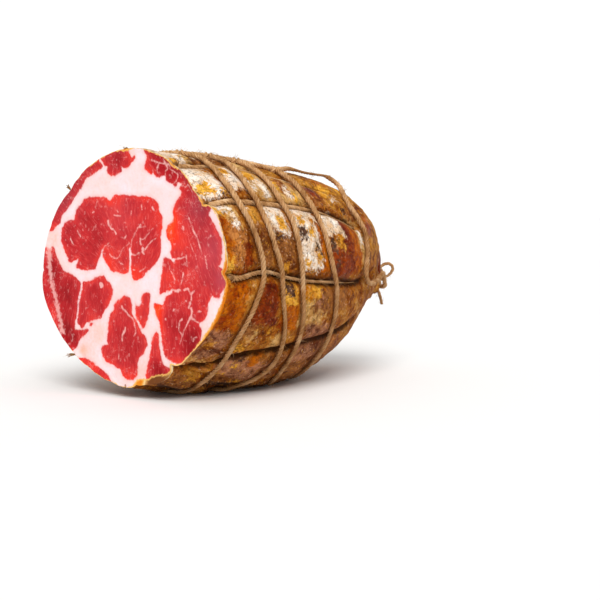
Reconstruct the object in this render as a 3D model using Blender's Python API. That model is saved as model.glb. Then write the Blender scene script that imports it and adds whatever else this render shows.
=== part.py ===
"""Half a coppa: a cured pork neck in its casing, cut across, tied with hitched twine.

The log lies along X, its cut face toward -X and its gathered tail toward +X, and rests on a
small flat spot at z = 0 round the origin. Lengths below are millimetres measured from the cut
face, and become metres where a mesh is made. Angles are degrees round the log: 0 is the side
toward -Y, 90 the top, 180 the far side and -90 the underside.
"""
import math

import bmesh
import bpy
import numpy as np

MM = 0.001

# The log: its length, half sizes and how full its section and its tail are
LOG_LENGTH = 160.0
HALF_WIDTH = 56.6
HALF_HEIGHT = 54.0
UPPER_FULLNESS = 2.15
LOWER_FULLNESS = 2.0
DOME_START = 28.0
DOME_FULLNESS_WIDE = 2.3
DOME_FULLNESS_HIGH = 2.8
REST_FROM_CUT = 68.0

# The log's middle line: height and sideways place against distance from the cut
MIDDLE_HEIGHT = ((0, 56.9), (28, 54.0), (56, 51.4), (84, 50.2), (102, 50.8), (130, 55.2),
                 (142, 57.2), (152, 55.0), (160, 42.0))
MIDDLE_SIDE = ((0, 0), (116, 0), (139, -2), (152, -6), (160, -14))

# Swellings (+) and flats (-) of the cut end: angle, spread in degrees, height, how far they reach
CUT_SWELLINGS = ((60, 20, -2.5, 46), (95, 22, -2.0, 46), (135, 26, -4.6, 46), (192, 12, 1.6, 46),
                 (250, 30, -2.2, 46), (310, 24, -5.0, 46), (42, 12, -4.4, 15), (14, 16, -1.2, 15),
                 (330, 26, -2.0, 15), (91, 12, 1.2, 15), (163, 14, -0.9, 15), (280, 10, -1.6, 15))

# Twine, and how far it lies proud of the skin or sunk in a crease
TWINE_RADIUS = 1.4
HOOP_RISE = 0.9
STRING_SINK = 2.2
STRING_SINKS_OVER = 8.0
STRING_RISES_FROM = 118.0
STRING_RISES_TO = 144.0
LOW_CREASE_DEPTH = 3.6
SKIN_GAP = 0.35
LOWEST_TWINE = 0.1
GROOVE_BED = TWINE_RADIUS + SKIN_GAP + 0.1
GROOVE_SIDE = 1.2
GROOVE_HALF_BED = 2.4
GROOVE_HALF_WIDTH = 3.6
CREASE_BED = TWINE_RADIUS + SKIN_GAP + 0.35
CREASE_HALF_WIDTH = 6.5
CREASE_SHARE = 0.45

# Long strings in their creases: start and end, depth of the middle at the cut, then angle
# against distance from the cut. Those that don't end before the tail run on to the knot.
LONG_STRINGS = (
    ("near_middle", 3.0, 103.0, STRING_SINK,
     ((0, 0.2), (7, -1.4), (19, 1.3), (27, 2.2), (40, 0.8), (60, -0.3), (80, -1), (103, -3.5),
      (160, -8))),
    ("near_upper", 1.6, 112.5, STRING_SINK,
     ((0, 35.5), (20, 36.5), (60, 37.5), (78, 37), (95, 33), (110, 28), (135, 24), (160, 20))),
    ("near_high", 2.0, 104.0, STRING_SINK,
     ((0, 63), (7, 65.5), (17, 66.5), (30, 68), (45, 67), (60, 64.5), (90, 60), (120, 54),
      (160, 48))),
    ("far_high", 1.6, LOG_LENGTH, -HOOP_RISE, ((0, 138), (60, 136), (110, 140), (160, 128))),
    ("far_middle", 1.8, LOG_LENGTH, STRING_SINK, ((0, 182), (50, 180), (100, 184), (160, 186))),
    ("far_low", 1.6, LOG_LENGTH, -HOOP_RISE, ((0, 228), (60, 230), (110, 226), (160, 232))),
    ("underside_stub", 1.2, 14.0, STRING_SINK, ((0, 273), (20, 277), (160, 280))),
)
# Creases that fade out past the end of their string
CREASE_FADES = {"underside_stub": (16.0, 24.0), "near_high": (100.0, 118.0), "near_upper": (112.0, 128.0)}
LOW_CREASE = ((0, 300), (8, 304), (17, 311), (27, 318), (36, 322), (50, 325), (80, 329),
              (110, 330), (160, 316))
RIDGE = ((0, 88), (20, 86), (45, 82), (62, 78), (80, 72), (160, 72))
RIDGE_START = 20.0
RIDGE_CREASE_STARTS = (10.0, 20.0)

# Hoops: distance from the cut against angle, once round
HOOPS = (
    ((-110, 20), (-90, 21), (-78, 21.5), (-66, 20), (-52, 19), (-40, 17), (-30, 15.4),
     (-22, 16), (-12, 18), (2, 21.5), (10, 20.5), (22, 18), (33, 16), (42, 16.4), (58, 20.5),
     (66, 23), (76, 26), (88, 25), (105, 20), (130, 14), (160, 13), (200, 16)),
    ((-120, 35), (-104, 36.5), (-88, 37.5), (-76, 38), (-68, 39.5), (-61, 43), (-54, 46.6),
     (-46, 48), (-36, 46.2), (-28, 43.6), (-20, 40.4), (-8, 35.2), (3, 33.6), (15, 30.6),
     (30, 29), (42, 29.8), (52, 32), (62, 34.8), (76, 40), (88, 42), (105, 39), (130, 33),
     (160, 32), (210, 34)),
    ((-120, 67), (-100, 71), (-84, 74), (-72, 71), (-62, 65), (-52, 60.5), (-40, 57.6), (-26, 55.2),
     (-16, 52.4), (-5, 49.2), (10, 48.2), (25, 48.8), (37, 47.6), (50, 49.5), (62, 51.5),
     (76, 56), (88, 58), (105, 56), (130, 52), (160, 53), (210, 60)),
    ((-120, 89), (-100, 92), (-80, 93), (-60, 87), (-40, 83.5), (-20, 80.5), (-2, 77.2), (8, 73.6),
     (20, 72.5), (32, 71.8), (43, 72), (58, 74.5), (68, 76.5), (78, 79), (90, 80), (105, 78),
     (130, 76), (160, 78), (210, 84)),
)

# Tail string: from the last hitch it arches off the shoulder, lands, and runs down to the knot.
# Distance from the cut, angle, rise over the skin
TAIL_STRING = ((81, 72, 1.7), (88, 73, 2.7), (95, 73, 2.9), (103, 71.5, 3.2), (112, 70.5, 4.0),
               (118, 70, 4.2), (122.5, 67, 3.4), (123, 62, 2.4), (118, 55, 2.2),
               (113, 48, 2.2), (110.5, 40, 2.2), (112, 31, 2.2), (114, 24.5, 2.2),
               (114, 18, 2.2), (111.5, 10, 2.2), (108.5, 4, 2.2), (108, -1, 2.2),
               (113, -6, 2.2), (124, -10, 2.2), (136, -12, 2.2), (147, -14, 2.3),
               (154, -16, 2.4), (157.5, -18, 2.6))

# Hitches on the ridge, the tail's knot and its bow
HITCH_RADII = (4.2, 2.5, 1.9)
KNOT_RADII = (4.4, 5.4, 4.6)
KNOT_FROM_TAIL = (5.0, 1.2, 0.6)
STRING_TO_KNOT = 9.0
BOW_LOOPS = (
    ((0, 0, 0), (0.5, -2.0, 5.5), (2.0, -4.5, 9.5), (4.5, -7.0, 10.8), (6.2, -8.6, 8.6),
     (5.4, -7.6, 5.4), (3.0, -4.2, 2.6), (0, 0, 0)),
    ((0, 0, 0), (3.6, -1.0, 1.5), (6.4, -1.6, 4.2), (6.0, -1.2, 7.2), (3.2, -0.4, 7.8),
     (0.8, 0.2, 5.0), (0, 0, 0)),
)
LOOSE_ENDS = (
    ((0, 0, 0), (1.8, -2.4, -3.6), (1.2, -4.4, -7.2), (0.6, -5.6, -10.4)),
    ((0, 0, 0), (2.4, 1.6, -3.8), (2.0, 3.6, -7.6)),
)

# How finely the log is divided between strings and between hoops
STEP_ANGLE = 10.0
RINGS_BETWEEN_HOOPS = 2
TAIL_RING_ANGLES = (9, 18, 27, 36, 45, 54, 62, 70, 77, 83)


def smooth_line(points):
    """Return a curve without overshoot through (position, value) points."""
    at, value = np.array(points, float).T
    step = np.diff(at)
    slope = np.diff(value) / step
    lean = np.zeros(len(at))
    lean[0], lean[-1] = slope[0], slope[-1]
    for i in range(1, len(at) - 1):
        if slope[i - 1] * slope[i] > 0:
            lean[i] = 2 * slope[i - 1] * slope[i] / (slope[i - 1] + slope[i])

    def line(x):
        x = np.clip(x, at[0], at[-1])
        i = np.clip(np.searchsorted(at, x) - 1, 0, len(step) - 1)
        t = (x - at[i]) / step[i]
        start = value[i] * (1 + 2 * t) + step[i] * lean[i] * t
        end = value[i + 1] * (3 - 2 * t) - step[i] * lean[i + 1] * (1 - t)
        return start * (1 - t) ** 2 + end * t ** 2

    return line


def closed_line(points):
    """Return the same kind of curve, closed once round."""
    turns = [(angle + turn, value) for turn in (-360, 0, 360) for angle, value in points]
    return smooth_line(sorted(turns))


def smooth_step(x, start, end):
    t = np.clip((x - start) / (end - start), 0, 1)
    return t * t * (3 - 2 * t)


middle_height = smooth_line(MIDDLE_HEIGHT)
middle_side = smooth_line(MIDDLE_SIDE)


def surface(x, angle):
    """Point of the skin at x along and angle round the log, before anything presses in."""
    along = np.clip((x - DOME_START) / (LOG_LENGTH - DOME_START), 0, 1)
    half_width = HALF_WIDTH * math.sqrt(1 - along ** DOME_FULLNESS_WIDE)
    half_height = HALF_HEIGHT * math.sqrt(1 - along ** DOME_FULLNESS_HIGH)
    across = math.cos(math.radians(angle))
    up = math.sin(math.radians(angle))
    power = 2 / (UPPER_FULLNESS if up > 0 else LOWER_FULLNESS)
    swelling = 0.0
    for middle, spread, height, reach in CUT_SWELLINGS:
        turn = (angle - middle + 180) % 360 - 180
        swelling += height * math.exp(-(turn / spread) ** 2) * (1 - smooth_step(x, 0, reach))
    grow = 1 + swelling / HALF_HEIGHT
    y = middle_side(x) - math.copysign(abs(across) ** power, across) * half_width * grow
    z = middle_height(x) + math.copysign(abs(up) ** power, up) * half_height * grow
    return np.array((x, y, max(z, 0.0)))


def outward(x, angle):
    """Unit normal of the skin; it lies in the cut's plane at the cut."""
    small = 0.2
    behind = max(x - small, 0.0)
    ahead = min(x + small, LOG_LENGTH)
    lengthwise = surface(ahead, angle) - surface(behind, angle)
    round_it = surface(x, angle + 1) - surface(x, angle - 1)
    normal = np.cross(lengthwise, round_it)
    normal[0] *= smooth_step(x, 0, 12)
    middle = np.array((x, middle_side(x), middle_height(x)))
    if np.dot(normal, surface(x, angle) - middle) < 0:
        normal = -normal
    return normal / np.linalg.norm(normal)


def on_skin(x, angle, rise):
    """Middle of a twine that lies proud of the skin, or pressed up where the log rests."""
    point = surface(x, angle) + outward(x, angle) * rise
    point[2] = max(point[2], TWINE_RADIUS + LOWEST_TWINE)
    return point


def string_sink(x, sink_at_cut):
    """Depth of a long string's middle: deep in its crease, then proud near the tail."""
    sink = sink_at_cut + (STRING_SINK - sink_at_cut) * smooth_step(x, 0, STRING_SINKS_OVER)
    rise = smooth_step(x, STRING_RISES_FROM, STRING_RISES_TO)
    return sink - (sink + HOOP_RISE) * rise


hoop_lines = [closed_line(points) for points in HOOPS]
string_lines = {name: smooth_line(points) for name, _, _, _, points in LONG_STRINGS}
sinks_at_cut = {string_lines[name]: sink for name, _, _, sink, _ in LONG_STRINGS}
crease_fades = {string_lines[name]: fade for name, fade in CREASE_FADES.items()}
ridge_line = smooth_line(RIDGE)
low_line = smooth_line(LOW_CREASE)
crease_lines = sorted([*string_lines.values(), ridge_line, low_line], key=lambda line: line(60.0))


def crease_depth(line, x):
    """How deep the crease along a line is at x."""
    if line is ridge_line:
        return (GROOVE_BED - HOOP_RISE) * smooth_step(x, *RIDGE_CREASE_STARTS)
    if line is low_line:
        return LOW_CREASE_DEPTH * (1 - smooth_step(x, STRING_RISES_FROM, LOG_LENGTH))
    depth = string_sink(x, sinks_at_cut[line]) + CREASE_BED
    if line in crease_fades:
        depth *= 1 - smooth_step(x, *crease_fades[line])
    return depth


def meridians():
    """Rows along the log: one in each crease, one on each shoulder, and some between."""
    rows = []
    for k, line in enumerate(crease_lines):
        following = crease_lines[(k + 1) % len(crease_lines)]
        turn = 360 if k + 1 == len(crease_lines) else 0
        span = following(60.0) + turn - line(60.0)
        between = max(1, round((span - 2 * 7) / STEP_ANGLE) - 1)
        rows.append((k, 0.0, 0.0))
        rows.append((k, 0.0, 1.0))
        rows.extend((k, (i + 1) / (between + 1), 0.0) for i in range(between))
        rows.append((k, 1.0, -1.0))
    return rows


def meridian_angle(row, x):
    """Angle of a row at x. Shoulders stay a set width from their crease while there is room."""
    k, share, side = row
    line = crease_lines[k]
    following = crease_lines[(k + 1) % len(crease_lines)]
    turn = 360 if k + 1 == len(crease_lines) else 0
    start = line(x)
    end = following(x) + turn
    if share == 0 and side == 0:
        return start
    middle = np.array((x, middle_side(x), middle_height(x)))
    radius = np.linalg.norm(surface(x, start) - middle)
    shoulder = min(math.degrees(CREASE_HALF_WIDTH / max(radius, 1.0)), CREASE_SHARE * (end - start))
    return start + shoulder + share * (end - start - 2 * shoulder)


def ring_positions():
    """Rings of the log as functions of angle: on each hoop's bed and shoulders, and between."""
    rings = [lambda angle: 0.0]
    previous = rings[0]
    for line in hoop_lines:
        first = lambda angle, line=line: line(angle) - GROOVE_HALF_WIDTH
        count = RINGS_BETWEEN_HOOPS if len(rings) > 1 else 1
        for i in range(count):
            share = (i + 1) / (count + 1)
            rings.append(lambda angle, a=previous, b=first, t=share: (1 - t) * a(angle) + t * b(angle))
        for shift in (-GROOVE_HALF_WIDTH, -GROOVE_HALF_BED, 0.0, GROOVE_HALF_BED, GROOVE_HALF_WIDTH):
            rings.append(lambda angle, line=line, shift=shift: line(angle) + shift)
        previous = rings[-1]
    for turn in TAIL_RING_ANGLES:
        share = math.sin(math.radians(turn))
        rings.append(lambda angle, a=previous, t=share: (1 - t) * a(angle) + t * LOG_LENGTH)
    return rings


def ring_row_place(ring, row):
    """Where a ring and a row cross: both lean on each other, so a few rounds settle it."""
    x = ring(meridian_angle(row, 60.0))
    for _ in range(6):
        angle = meridian_angle(row, x)
        x = ring((angle + 180) % 360 - 180)
    return x, angle


def pressed_depth(x, angle, row):
    """How deep twine presses the skin here, along its normal."""
    point = surface(x, angle)
    normal = outward(x, angle)
    depth = 0.0
    for line in hoop_lines:
        away = abs(x - line((angle + 180) % 360 - 180))
        if away < GROOVE_HALF_WIDTH - 0.5:
            bed = GROOVE_BED if away < GROOVE_HALF_BED / 2 else GROOVE_SIDE
            depth = max(depth, np.dot(point - on_skin(x, angle, HOOP_RISE), normal) + bed)
    if row[1] == 0 and row[2] == 0:
        depth = max(depth, crease_depth(crease_lines[row[0]], x))
    return depth


def skin_point(x, angle, row):
    return surface(x, angle) - outward(x, angle) * pressed_depth(x, angle, row)


def to_part(point):
    """Move a point from millimetres behind the cut to metres from the origin."""
    return ((point[0] - REST_FROM_CUT) * MM, point[1] * MM, point[2] * MM)


def add_object(name, data, material):
    thing = bpy.data.objects.new(name, data)
    thing.data.materials.append(material)
    parts.objects.link(thing)
    return thing


def finish(name, colour, roughness):
    """Principled material of one colour."""
    material = bpy.data.materials.new(name)
    material.use_nodes = True
    shader = material.node_tree.nodes["Principled BSDF"]
    shader.inputs["Base Color"].default_value = (*colour, 1.0)
    shader.inputs["Roughness"].default_value = roughness
    return material


def build_log():
    """Loft the rings of unlike sections from the cut to the tail, one solid."""
    rows = meridians()
    bm = bmesh.new()
    rings = []
    for ring in ring_positions():
        corners = []
        for row in rows:
            x, angle = ring_row_place(ring, row)
            corners.append(bm.verts.new(to_part(skin_point(x, angle, row))))
        rings.append(corners)
    cut_middle = bm.verts.new(to_part((0.0, 0.0, MIDDLE_HEIGHT[0][1])))
    tail = bm.verts.new(to_part(surface(LOG_LENGTH, 0)))
    count = len(rows)
    for i in range(count):
        j = (i + 1) % count
        bm.faces.new((cut_middle, rings[0][i], rings[0][j]))
        bm.faces.new((tail, rings[-1][j], rings[-1][i]))
        for near, far in zip(rings, rings[1:]):
            bm.faces.new((near[i], far[i], far[j], near[j]))
    bmesh.ops.triangulate(bm, faces=bm.faces[:])
    bmesh.ops.recalc_face_normals(bm, faces=bm.faces[:])
    mesh = bpy.data.meshes.new("meat_log")
    bm.to_mesh(mesh)
    bm.free()
    add_object("meat_log", mesh, cured_meat)


def twine(name, points, closed=False):
    """Tube of twine through points, as a curve."""
    curve = bpy.data.curves.new(name, "CURVE")
    curve.dimensions = "3D"
    curve.bevel_depth = TWINE_RADIUS * MM
    curve.bevel_resolution = 1
    curve.use_fill_caps = not closed
    spline = curve.splines.new("POLY")
    spline.points.add(len(points) - 1)
    for corner, point in zip(spline.points, points):
        corner.co = (*to_part(point), 1.0)
    spline.use_cyclic_u = closed
    return add_object(name, curve, jute)


def curve_to_mesh(thing):
    """Swap a curve for its closed mesh, ready for a Boolean union."""
    evaluated = thing.evaluated_get(bpy.context.evaluated_depsgraph_get())
    mesh = bpy.data.meshes.new_from_object(evaluated)
    bm = bmesh.new()
    bm.from_mesh(mesh)
    bmesh.ops.remove_doubles(bm, verts=bm.verts[:], dist=0.00001)
    bmesh.ops.recalc_face_normals(bm, faces=bm.faces[:])
    bm.to_mesh(mesh)
    bm.free()
    name = thing.name
    bpy.data.objects.remove(thing)
    return add_object(name, mesh, jute)


def lump(name, middle, radii, lengthwise=(1.0, 0.0, 0.0), up=(0.0, 0.0, 1.0)):
    """Rounded lump of twine, its radii along, across and up."""
    bm = bmesh.new()
    bmesh.ops.create_icosphere(bm, subdivisions=2, radius=1.0)
    along = np.array(lengthwise) / np.linalg.norm(lengthwise)
    across = np.cross(up, along)
    across = across / np.linalg.norm(across)
    rise = np.cross(along, across)
    for vert in bm.verts:
        offset = vert.co.x * radii[0] * along + vert.co.y * radii[1] * across + vert.co.z * radii[2] * rise
        vert.co = to_part(np.array(middle) + offset)
    mesh = bpy.data.meshes.new(name)
    bm.to_mesh(mesh)
    bm.free()
    return add_object(name, mesh, jute)


def rounded(points, per_piece=3):
    """Smooth a short run of points with a Catmull-Rom curve."""
    points = [np.array(point, float) for point in points]
    ends = [2 * points[0] - points[1], *points, 2 * points[-1] - points[-2]]
    run = []
    for a, b, c, d in zip(ends, ends[1:], ends[2:], ends[3:]):
        for i in range(per_piece):
            t = i / per_piece
            run.append(0.5 * (2 * b + (c - a) * t + (2 * a - 5 * b + 4 * c - d) * t ** 2
                              + (3 * b - a - 3 * c + d) * t ** 3))
    run.append(points[-1])
    return run


def hoop_points(line):
    """Once round a hoop, a point on every row of the log."""
    return [on_skin(*ring_row_place(line, row), HOOP_RISE) for row in meridians()]


def string_stations(start, end, string_line):
    """Distances from the cut at which a long string bends: under each hoop and between."""
    along = [start]
    row = (crease_lines.index(string_line), 0.0, 0.0)
    for line in hoop_lines:
        x = ring_row_place(line, row)[0]
        if x - along[-1] > 10:
            along.append((along[-1] + x) / 2)
        along.append(x)
    last = along[-1]
    along.extend(last + (LOG_LENGTH - last) * math.sin(math.radians(turn)) for turn in TAIL_RING_ANGLES)
    stations = [x for x in along if x < end - 2]
    return stations if end == LOG_LENGTH else stations + [end]


def string_points(start, end, sink_at_cut, line, knot):
    """A long string's middle from behind the cut to its end or near the knot."""
    points = []
    for x in string_stations(start, end, line):
        point = surface(x, line(x)) - outward(x, line(x)) * string_sink(x, sink_at_cut)
        if np.linalg.norm(point - knot) < STRING_TO_KNOT:
            break
        points.append(point)
    return points


def build_net(knot):
    """Ridge and tail string, hoops, hitches, knot and bow, joined to one solid."""
    ridge_row = (crease_lines.index(ridge_line), 0.0, 0.0)
    crossings = [ring_row_place(line, ridge_row)[0] for line in hoop_lines]
    ridge_stations = [RIDGE_START]
    for x in crossings:
        ridge_stations.extend(((ridge_stations[-1] + x) / 2, x))
    ridge = [on_skin(x, ridge_line(x), HOOP_RISE) for x in ridge_stations]
    tail = [on_skin(x, angle, rise) for x, angle, rise in TAIL_STRING]
    run = ridge[:-1] + rounded([ridge[-1], *tail, knot], 2)
    pieces = [twine("net_twine", run)]
    for k, line in enumerate(hoop_lines):
        pieces.append(twine(f"hoop_{k + 1}", hoop_points(line), closed=True))
    for k, loop in enumerate(BOW_LOOPS + LOOSE_ENDS):
        pieces.append(twine(f"bow_{k + 1}", rounded([knot + np.array(point) for point in loop])))
    solids = [curve_to_mesh(piece) for piece in pieces]
    for k, x in enumerate(crossings):
        angle = ridge_line(x)
        lengthwise = surface(x + 2, angle) - surface(x - 2, angle)
        middle = on_skin(x, angle, HITCH_RADII[2] - SKIN_GAP)
        solids.append(lump(f"hitch_{k + 1}", middle, HITCH_RADII, lengthwise, outward(x, angle)))
    solids.append(lump("knot", knot, KNOT_RADII))
    return join(solids[0], solids[1:])


def join(target, others):
    """One Boolean union on a collection, applied, its pieces removed."""
    pieces = bpy.data.collections.new("net_pieces")
    bpy.context.scene.collection.children.link(pieces)
    for thing in others:
        parts.objects.unlink(thing)
        pieces.objects.link(thing)
    union = target.modifiers.new("join", "BOOLEAN")
    union.operation = "UNION"
    union.solver = "EXACT"
    union.operand_type = "COLLECTION"
    union.collection = pieces
    evaluated = target.evaluated_get(bpy.context.evaluated_depsgraph_get())
    mesh = bpy.data.meshes.new_from_object(evaluated)
    target.modifiers.clear()
    target.data = mesh
    for thing in others:
        bpy.data.objects.remove(thing)
    bpy.data.collections.remove(pieces)
    return target


def build_strings(knot):
    """Long strings under the hoops, each a piece of its own."""
    for name, start, end, sink_at_cut, _ in LONG_STRINGS:
        points = string_points(start, end, sink_at_cut, string_lines[name], knot)
        twine(f"string_{name}", points)


for leftover in list(bpy.data.objects):
    bpy.data.objects.remove(leftover)

parts = bpy.data.collections.new("coppa")
bpy.context.scene.collection.children.link(parts)
cured_meat = finish("cured_meat_in_casing", (0.42, 0.20, 0.09), 0.5)
jute = finish("jute_twine", (0.48, 0.30, 0.14), 0.85)
tail_knot = surface(LOG_LENGTH, 0) + np.array(KNOT_FROM_TAIL)

build_log()
build_strings(tail_knot)
build_net(tail_knot)
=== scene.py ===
"""Half a coppa on a pale floor: a cured pork neck in its casing, cut across and tied with twine."""

import itertools
import math

import bpy
import numpy as np
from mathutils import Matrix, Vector
from mathutils.geometry import delaunay_2d_cdt


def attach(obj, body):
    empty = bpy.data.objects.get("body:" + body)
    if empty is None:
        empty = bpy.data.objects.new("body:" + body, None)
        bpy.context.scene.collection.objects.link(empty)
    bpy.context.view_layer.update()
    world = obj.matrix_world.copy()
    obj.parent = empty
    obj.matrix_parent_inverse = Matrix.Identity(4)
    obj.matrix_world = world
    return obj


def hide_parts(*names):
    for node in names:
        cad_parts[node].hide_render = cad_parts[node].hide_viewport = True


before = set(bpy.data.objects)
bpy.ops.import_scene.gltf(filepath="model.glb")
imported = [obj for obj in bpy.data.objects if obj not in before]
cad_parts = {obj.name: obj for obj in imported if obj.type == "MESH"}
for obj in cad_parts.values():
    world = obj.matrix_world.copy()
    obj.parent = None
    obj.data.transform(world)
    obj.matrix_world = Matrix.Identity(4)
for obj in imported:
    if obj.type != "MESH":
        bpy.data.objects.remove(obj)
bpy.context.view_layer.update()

# The casing. A boned pork neck, stuffed in a washed natural casing and dried till it is firm: amber
# and clear over lean, tan and creased by the twine, and dusted with white bloom, ochre and grey. It
# is one fine sheet of quads, pressed in by the twine and gathered at the tail.
MM = 0.001
# The neck's form, which the solids follow too, so that every piece sits on them. Lengths are
# millimetres behind the cut; angles are degrees round the log, 0 toward -Y, 90 on top.
LOG_LENGTH = 160.0
HALF_WIDTH = 56.6
HALF_HEIGHT = 54.0
UPPER_FULLNESS = 2.15
LOWER_FULLNESS = 2.0
DOME_START = 28.0
DOME_FULLNESS_WIDE = 2.3
DOME_FULLNESS_HIGH = 2.8
REST_FROM_CUT = 68.0
MIDDLE_HEIGHT = ((0, 56.9), (28, 54.0), (56, 51.4), (84, 50.2), (102, 50.8), (130, 55.2),
                 (142, 57.2), (152, 55.0), (160, 42.0))
MIDDLE_SIDE = ((0, 0), (116, 0), (139, -2), (152, -6), (160, -14))
# Swellings (+) and flats (-) of the cut end: angle, spread in degrees, height, how far they reach
CUT_SWELLINGS = ((60, 20, -2.5, 46), (95, 22, -2.0, 46), (135, 26, -4.6, 46), (192, 12, 1.6, 46),
                 (250, 30, -2.2, 46), (310, 24, -5.0, 46), (42, 12, -4.4, 15), (14, 16, -1.2, 15),
                 (330, 26, -2.0, 15), (91, 12, 1.2, 15), (163, 14, -0.9, 15), (280, 10, -1.6, 15))
# Half the reach over which a slope is measured, and where normals have turned from the cut's plane
SLOPE_REACH = 0.2
NORMALS_TURN_OVER = 12.0
# How far each seed shifts the noise, in lumps
SEED_SHIFT = 7.31


def smooth_line(points):
    """Return a curve without overshoot through (position, value) points."""
    at, value = np.array(points, float).T
    step = np.diff(at)
    slope = np.diff(value) / step
    lean = np.zeros(len(at))
    lean[0], lean[-1] = slope[0], slope[-1]
    for i in range(1, len(at) - 1):
        if slope[i - 1] * slope[i] > 0:
            lean[i] = 2 * slope[i - 1] * slope[i] / (slope[i - 1] + slope[i])

    def line(x):
        x = np.clip(x, at[0], at[-1])
        i = np.clip(np.searchsorted(at, x) - 1, 0, len(step) - 1)
        t = (x - at[i]) / step[i]
        start = value[i] * (1 + 2 * t) + step[i] * lean[i] * t
        end = value[i + 1] * (3 - 2 * t) - step[i] * lean[i + 1] * (1 - t)
        return start * (1 - t) ** 2 + end * t ** 2

    return line


def smooth_step(x, start, end):
    """Rise smoothly from 0 at start to 1 at end."""
    t = np.clip((x - start) / (end - start), 0, 1)
    return t * t * (3 - 2 * t)


def turn_between(angle, middle):
    """Degrees from one angle to another, the short way round."""
    return (angle - middle + 180) % 360 - 180


def near_angle(angle, middle, spread):
    """1 at one angle, falling off to both sides over spread degrees."""
    return np.exp(-(turn_between(angle, middle) / spread) ** 2)


middle_height = smooth_line(MIDDLE_HEIGHT)
middle_side = smooth_line(MIDDLE_SIDE)


def surface(x, angle):
    """Points of the skin before anything presses in."""
    x, angle = np.broadcast_arrays(np.asarray(x, float), np.asarray(angle, float))
    along = np.clip((x - DOME_START) / (LOG_LENGTH - DOME_START), 0, 1)
    half_width = HALF_WIDTH * np.sqrt(1 - along ** DOME_FULLNESS_WIDE)
    half_height = HALF_HEIGHT * np.sqrt(1 - along ** DOME_FULLNESS_HIGH)
    across = np.cos(np.radians(angle))
    up = np.sin(np.radians(angle))
    power = 2 / np.where(up > 0, UPPER_FULLNESS, LOWER_FULLNESS)
    swelling = sum(height * near_angle(angle, middle, spread) * (1 - smooth_step(x, 0, reach))
                   for middle, spread, height, reach in CUT_SWELLINGS)
    grow = 1 + swelling / HALF_HEIGHT
    y = middle_side(x) - np.sign(across) * np.abs(across) ** power * half_width * grow
    z = middle_height(x) + np.sign(up) * np.abs(up) ** power * half_height * grow
    return np.stack((x, y, np.maximum(z, 0.0)), -1)


def outward(x, angle):
    """Unit normals of the skin; they lie in the cut's plane at the cut."""
    ahead = surface(np.minimum(x + SLOPE_REACH, LOG_LENGTH), angle)
    behind = surface(np.maximum(x - SLOPE_REACH, 0), angle)
    round_it = surface(x, angle + 1) - surface(x, angle - 1)
    normal = np.cross(round_it, ahead - behind)
    normal[..., 0] *= smooth_step(x, 0, NORMALS_TURN_OVER)
    middle = np.stack((x + 0 * angle, middle_side(x) + 0 * angle, middle_height(x) + 0 * angle), -1)
    inward = np.sum(normal * (surface(x, angle) - middle), -1) < 0
    normal = np.where(inward[..., None], -normal, normal)
    return normal / np.linalg.norm(normal, axis=-1, keepdims=True)


def to_frame(points):
    """Move points from millimetres behind the cut to metres in the frame."""
    return (np.asarray(points) - (REST_FROM_CUT, 0, 0)) * MM


def lumps(points, size, seed):
    """Smooth noise from -1 to 1 whose lumps are size millimetres across."""
    cell = np.asarray(points, float) / size + seed * SEED_SHIFT
    low = np.floor(cell).astype(np.int64)
    share = cell - low
    share = share ** 3 * (share * (share * 6 - 15) + 10)
    total = 0.0
    for corner in itertools.product((0, 1), repeat=3):
        i, j, k = np.moveaxis(low + corner, -1, 0)
        # Large odd numbers scatter the value at each corner of a cell, the same in every run
        mixed = (i * 73856093 ^ j * 19349663 ^ k * 83492791 ^ seed * 2654435) & 0x7FFFFFFF
        mixed = (mixed ^ mixed >> 13) * 1274126177 & 0x7FFFFFFF
        value = (mixed ^ mixed >> 16) % 65536 / 32768 - 1
        total = total + value * np.prod(np.where(corner, share, 1 - share), -1)
    return total


# Paths of the twine, given here because the casing creases by them. One length hoops the log and is
# hitched on top of each hoop, and it holds the long strings against the meat.
TWINE_RADIUS = 1.4
HOOP_RISE = 0.9
STRING_SINK = 2.2
STRING_SINKS_OVER = 8.0
STRING_RISES_FROM = 118.0
STRING_RISES_TO = 144.0
LOW_CREASE_DEPTH = 3.6
LOWEST_TWINE = 0.1
# Long strings: name, start, end, depth at the cut, then angle against distance from the cut
LONG_STRINGS = (
    ("near_middle", 3.0, 103.0, STRING_SINK,
     ((0, 0.2), (7, -1.4), (19, 1.3), (27, 2.2), (40, 0.8), (60, -0.3), (80, -1), (103, -3.5),
      (160, -8))),
    ("near_upper", 1.6, 112.5, STRING_SINK,
     ((0, 35.5), (20, 36.5), (60, 37.5), (78, 37), (95, 33), (110, 28), (135, 24), (160, 20))),
    ("near_high", 2.0, 104.0, STRING_SINK,
     ((0, 63), (7, 65.5), (17, 66.5), (30, 68), (45, 67), (60, 64.5), (90, 60), (120, 54),
      (160, 48))),
    ("far_high", 1.6, LOG_LENGTH, -HOOP_RISE, ((0, 138), (60, 136), (110, 140), (160, 128))),
    ("far_middle", 1.8, LOG_LENGTH, STRING_SINK, ((0, 182), (50, 180), (100, 184), (160, 186))),
    ("far_low", 1.6, LOG_LENGTH, -HOOP_RISE, ((0, 228), (60, 230), (110, 226), (160, 232))),
    ("underside_stub", 1.2, 14.0, STRING_SINK, ((0, 273), (20, 277), (160, 280))),
)
# Creases that fade out past the end of their string
CREASE_FADES = {"underside_stub": (16.0, 24.0), "near_high": (100.0, 118.0), "near_upper": (112.0, 128.0)}
# Share of a crease's depth that notches the cut face's edge
NOTCHES = {"near_middle": 0.55, "near_upper": 0.45, "near_high": 0.15, "far_middle": 0.2}
PLAIN_NOTCH = 0.3
NOTCH_DEEPENS_OVER = 5.0
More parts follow.
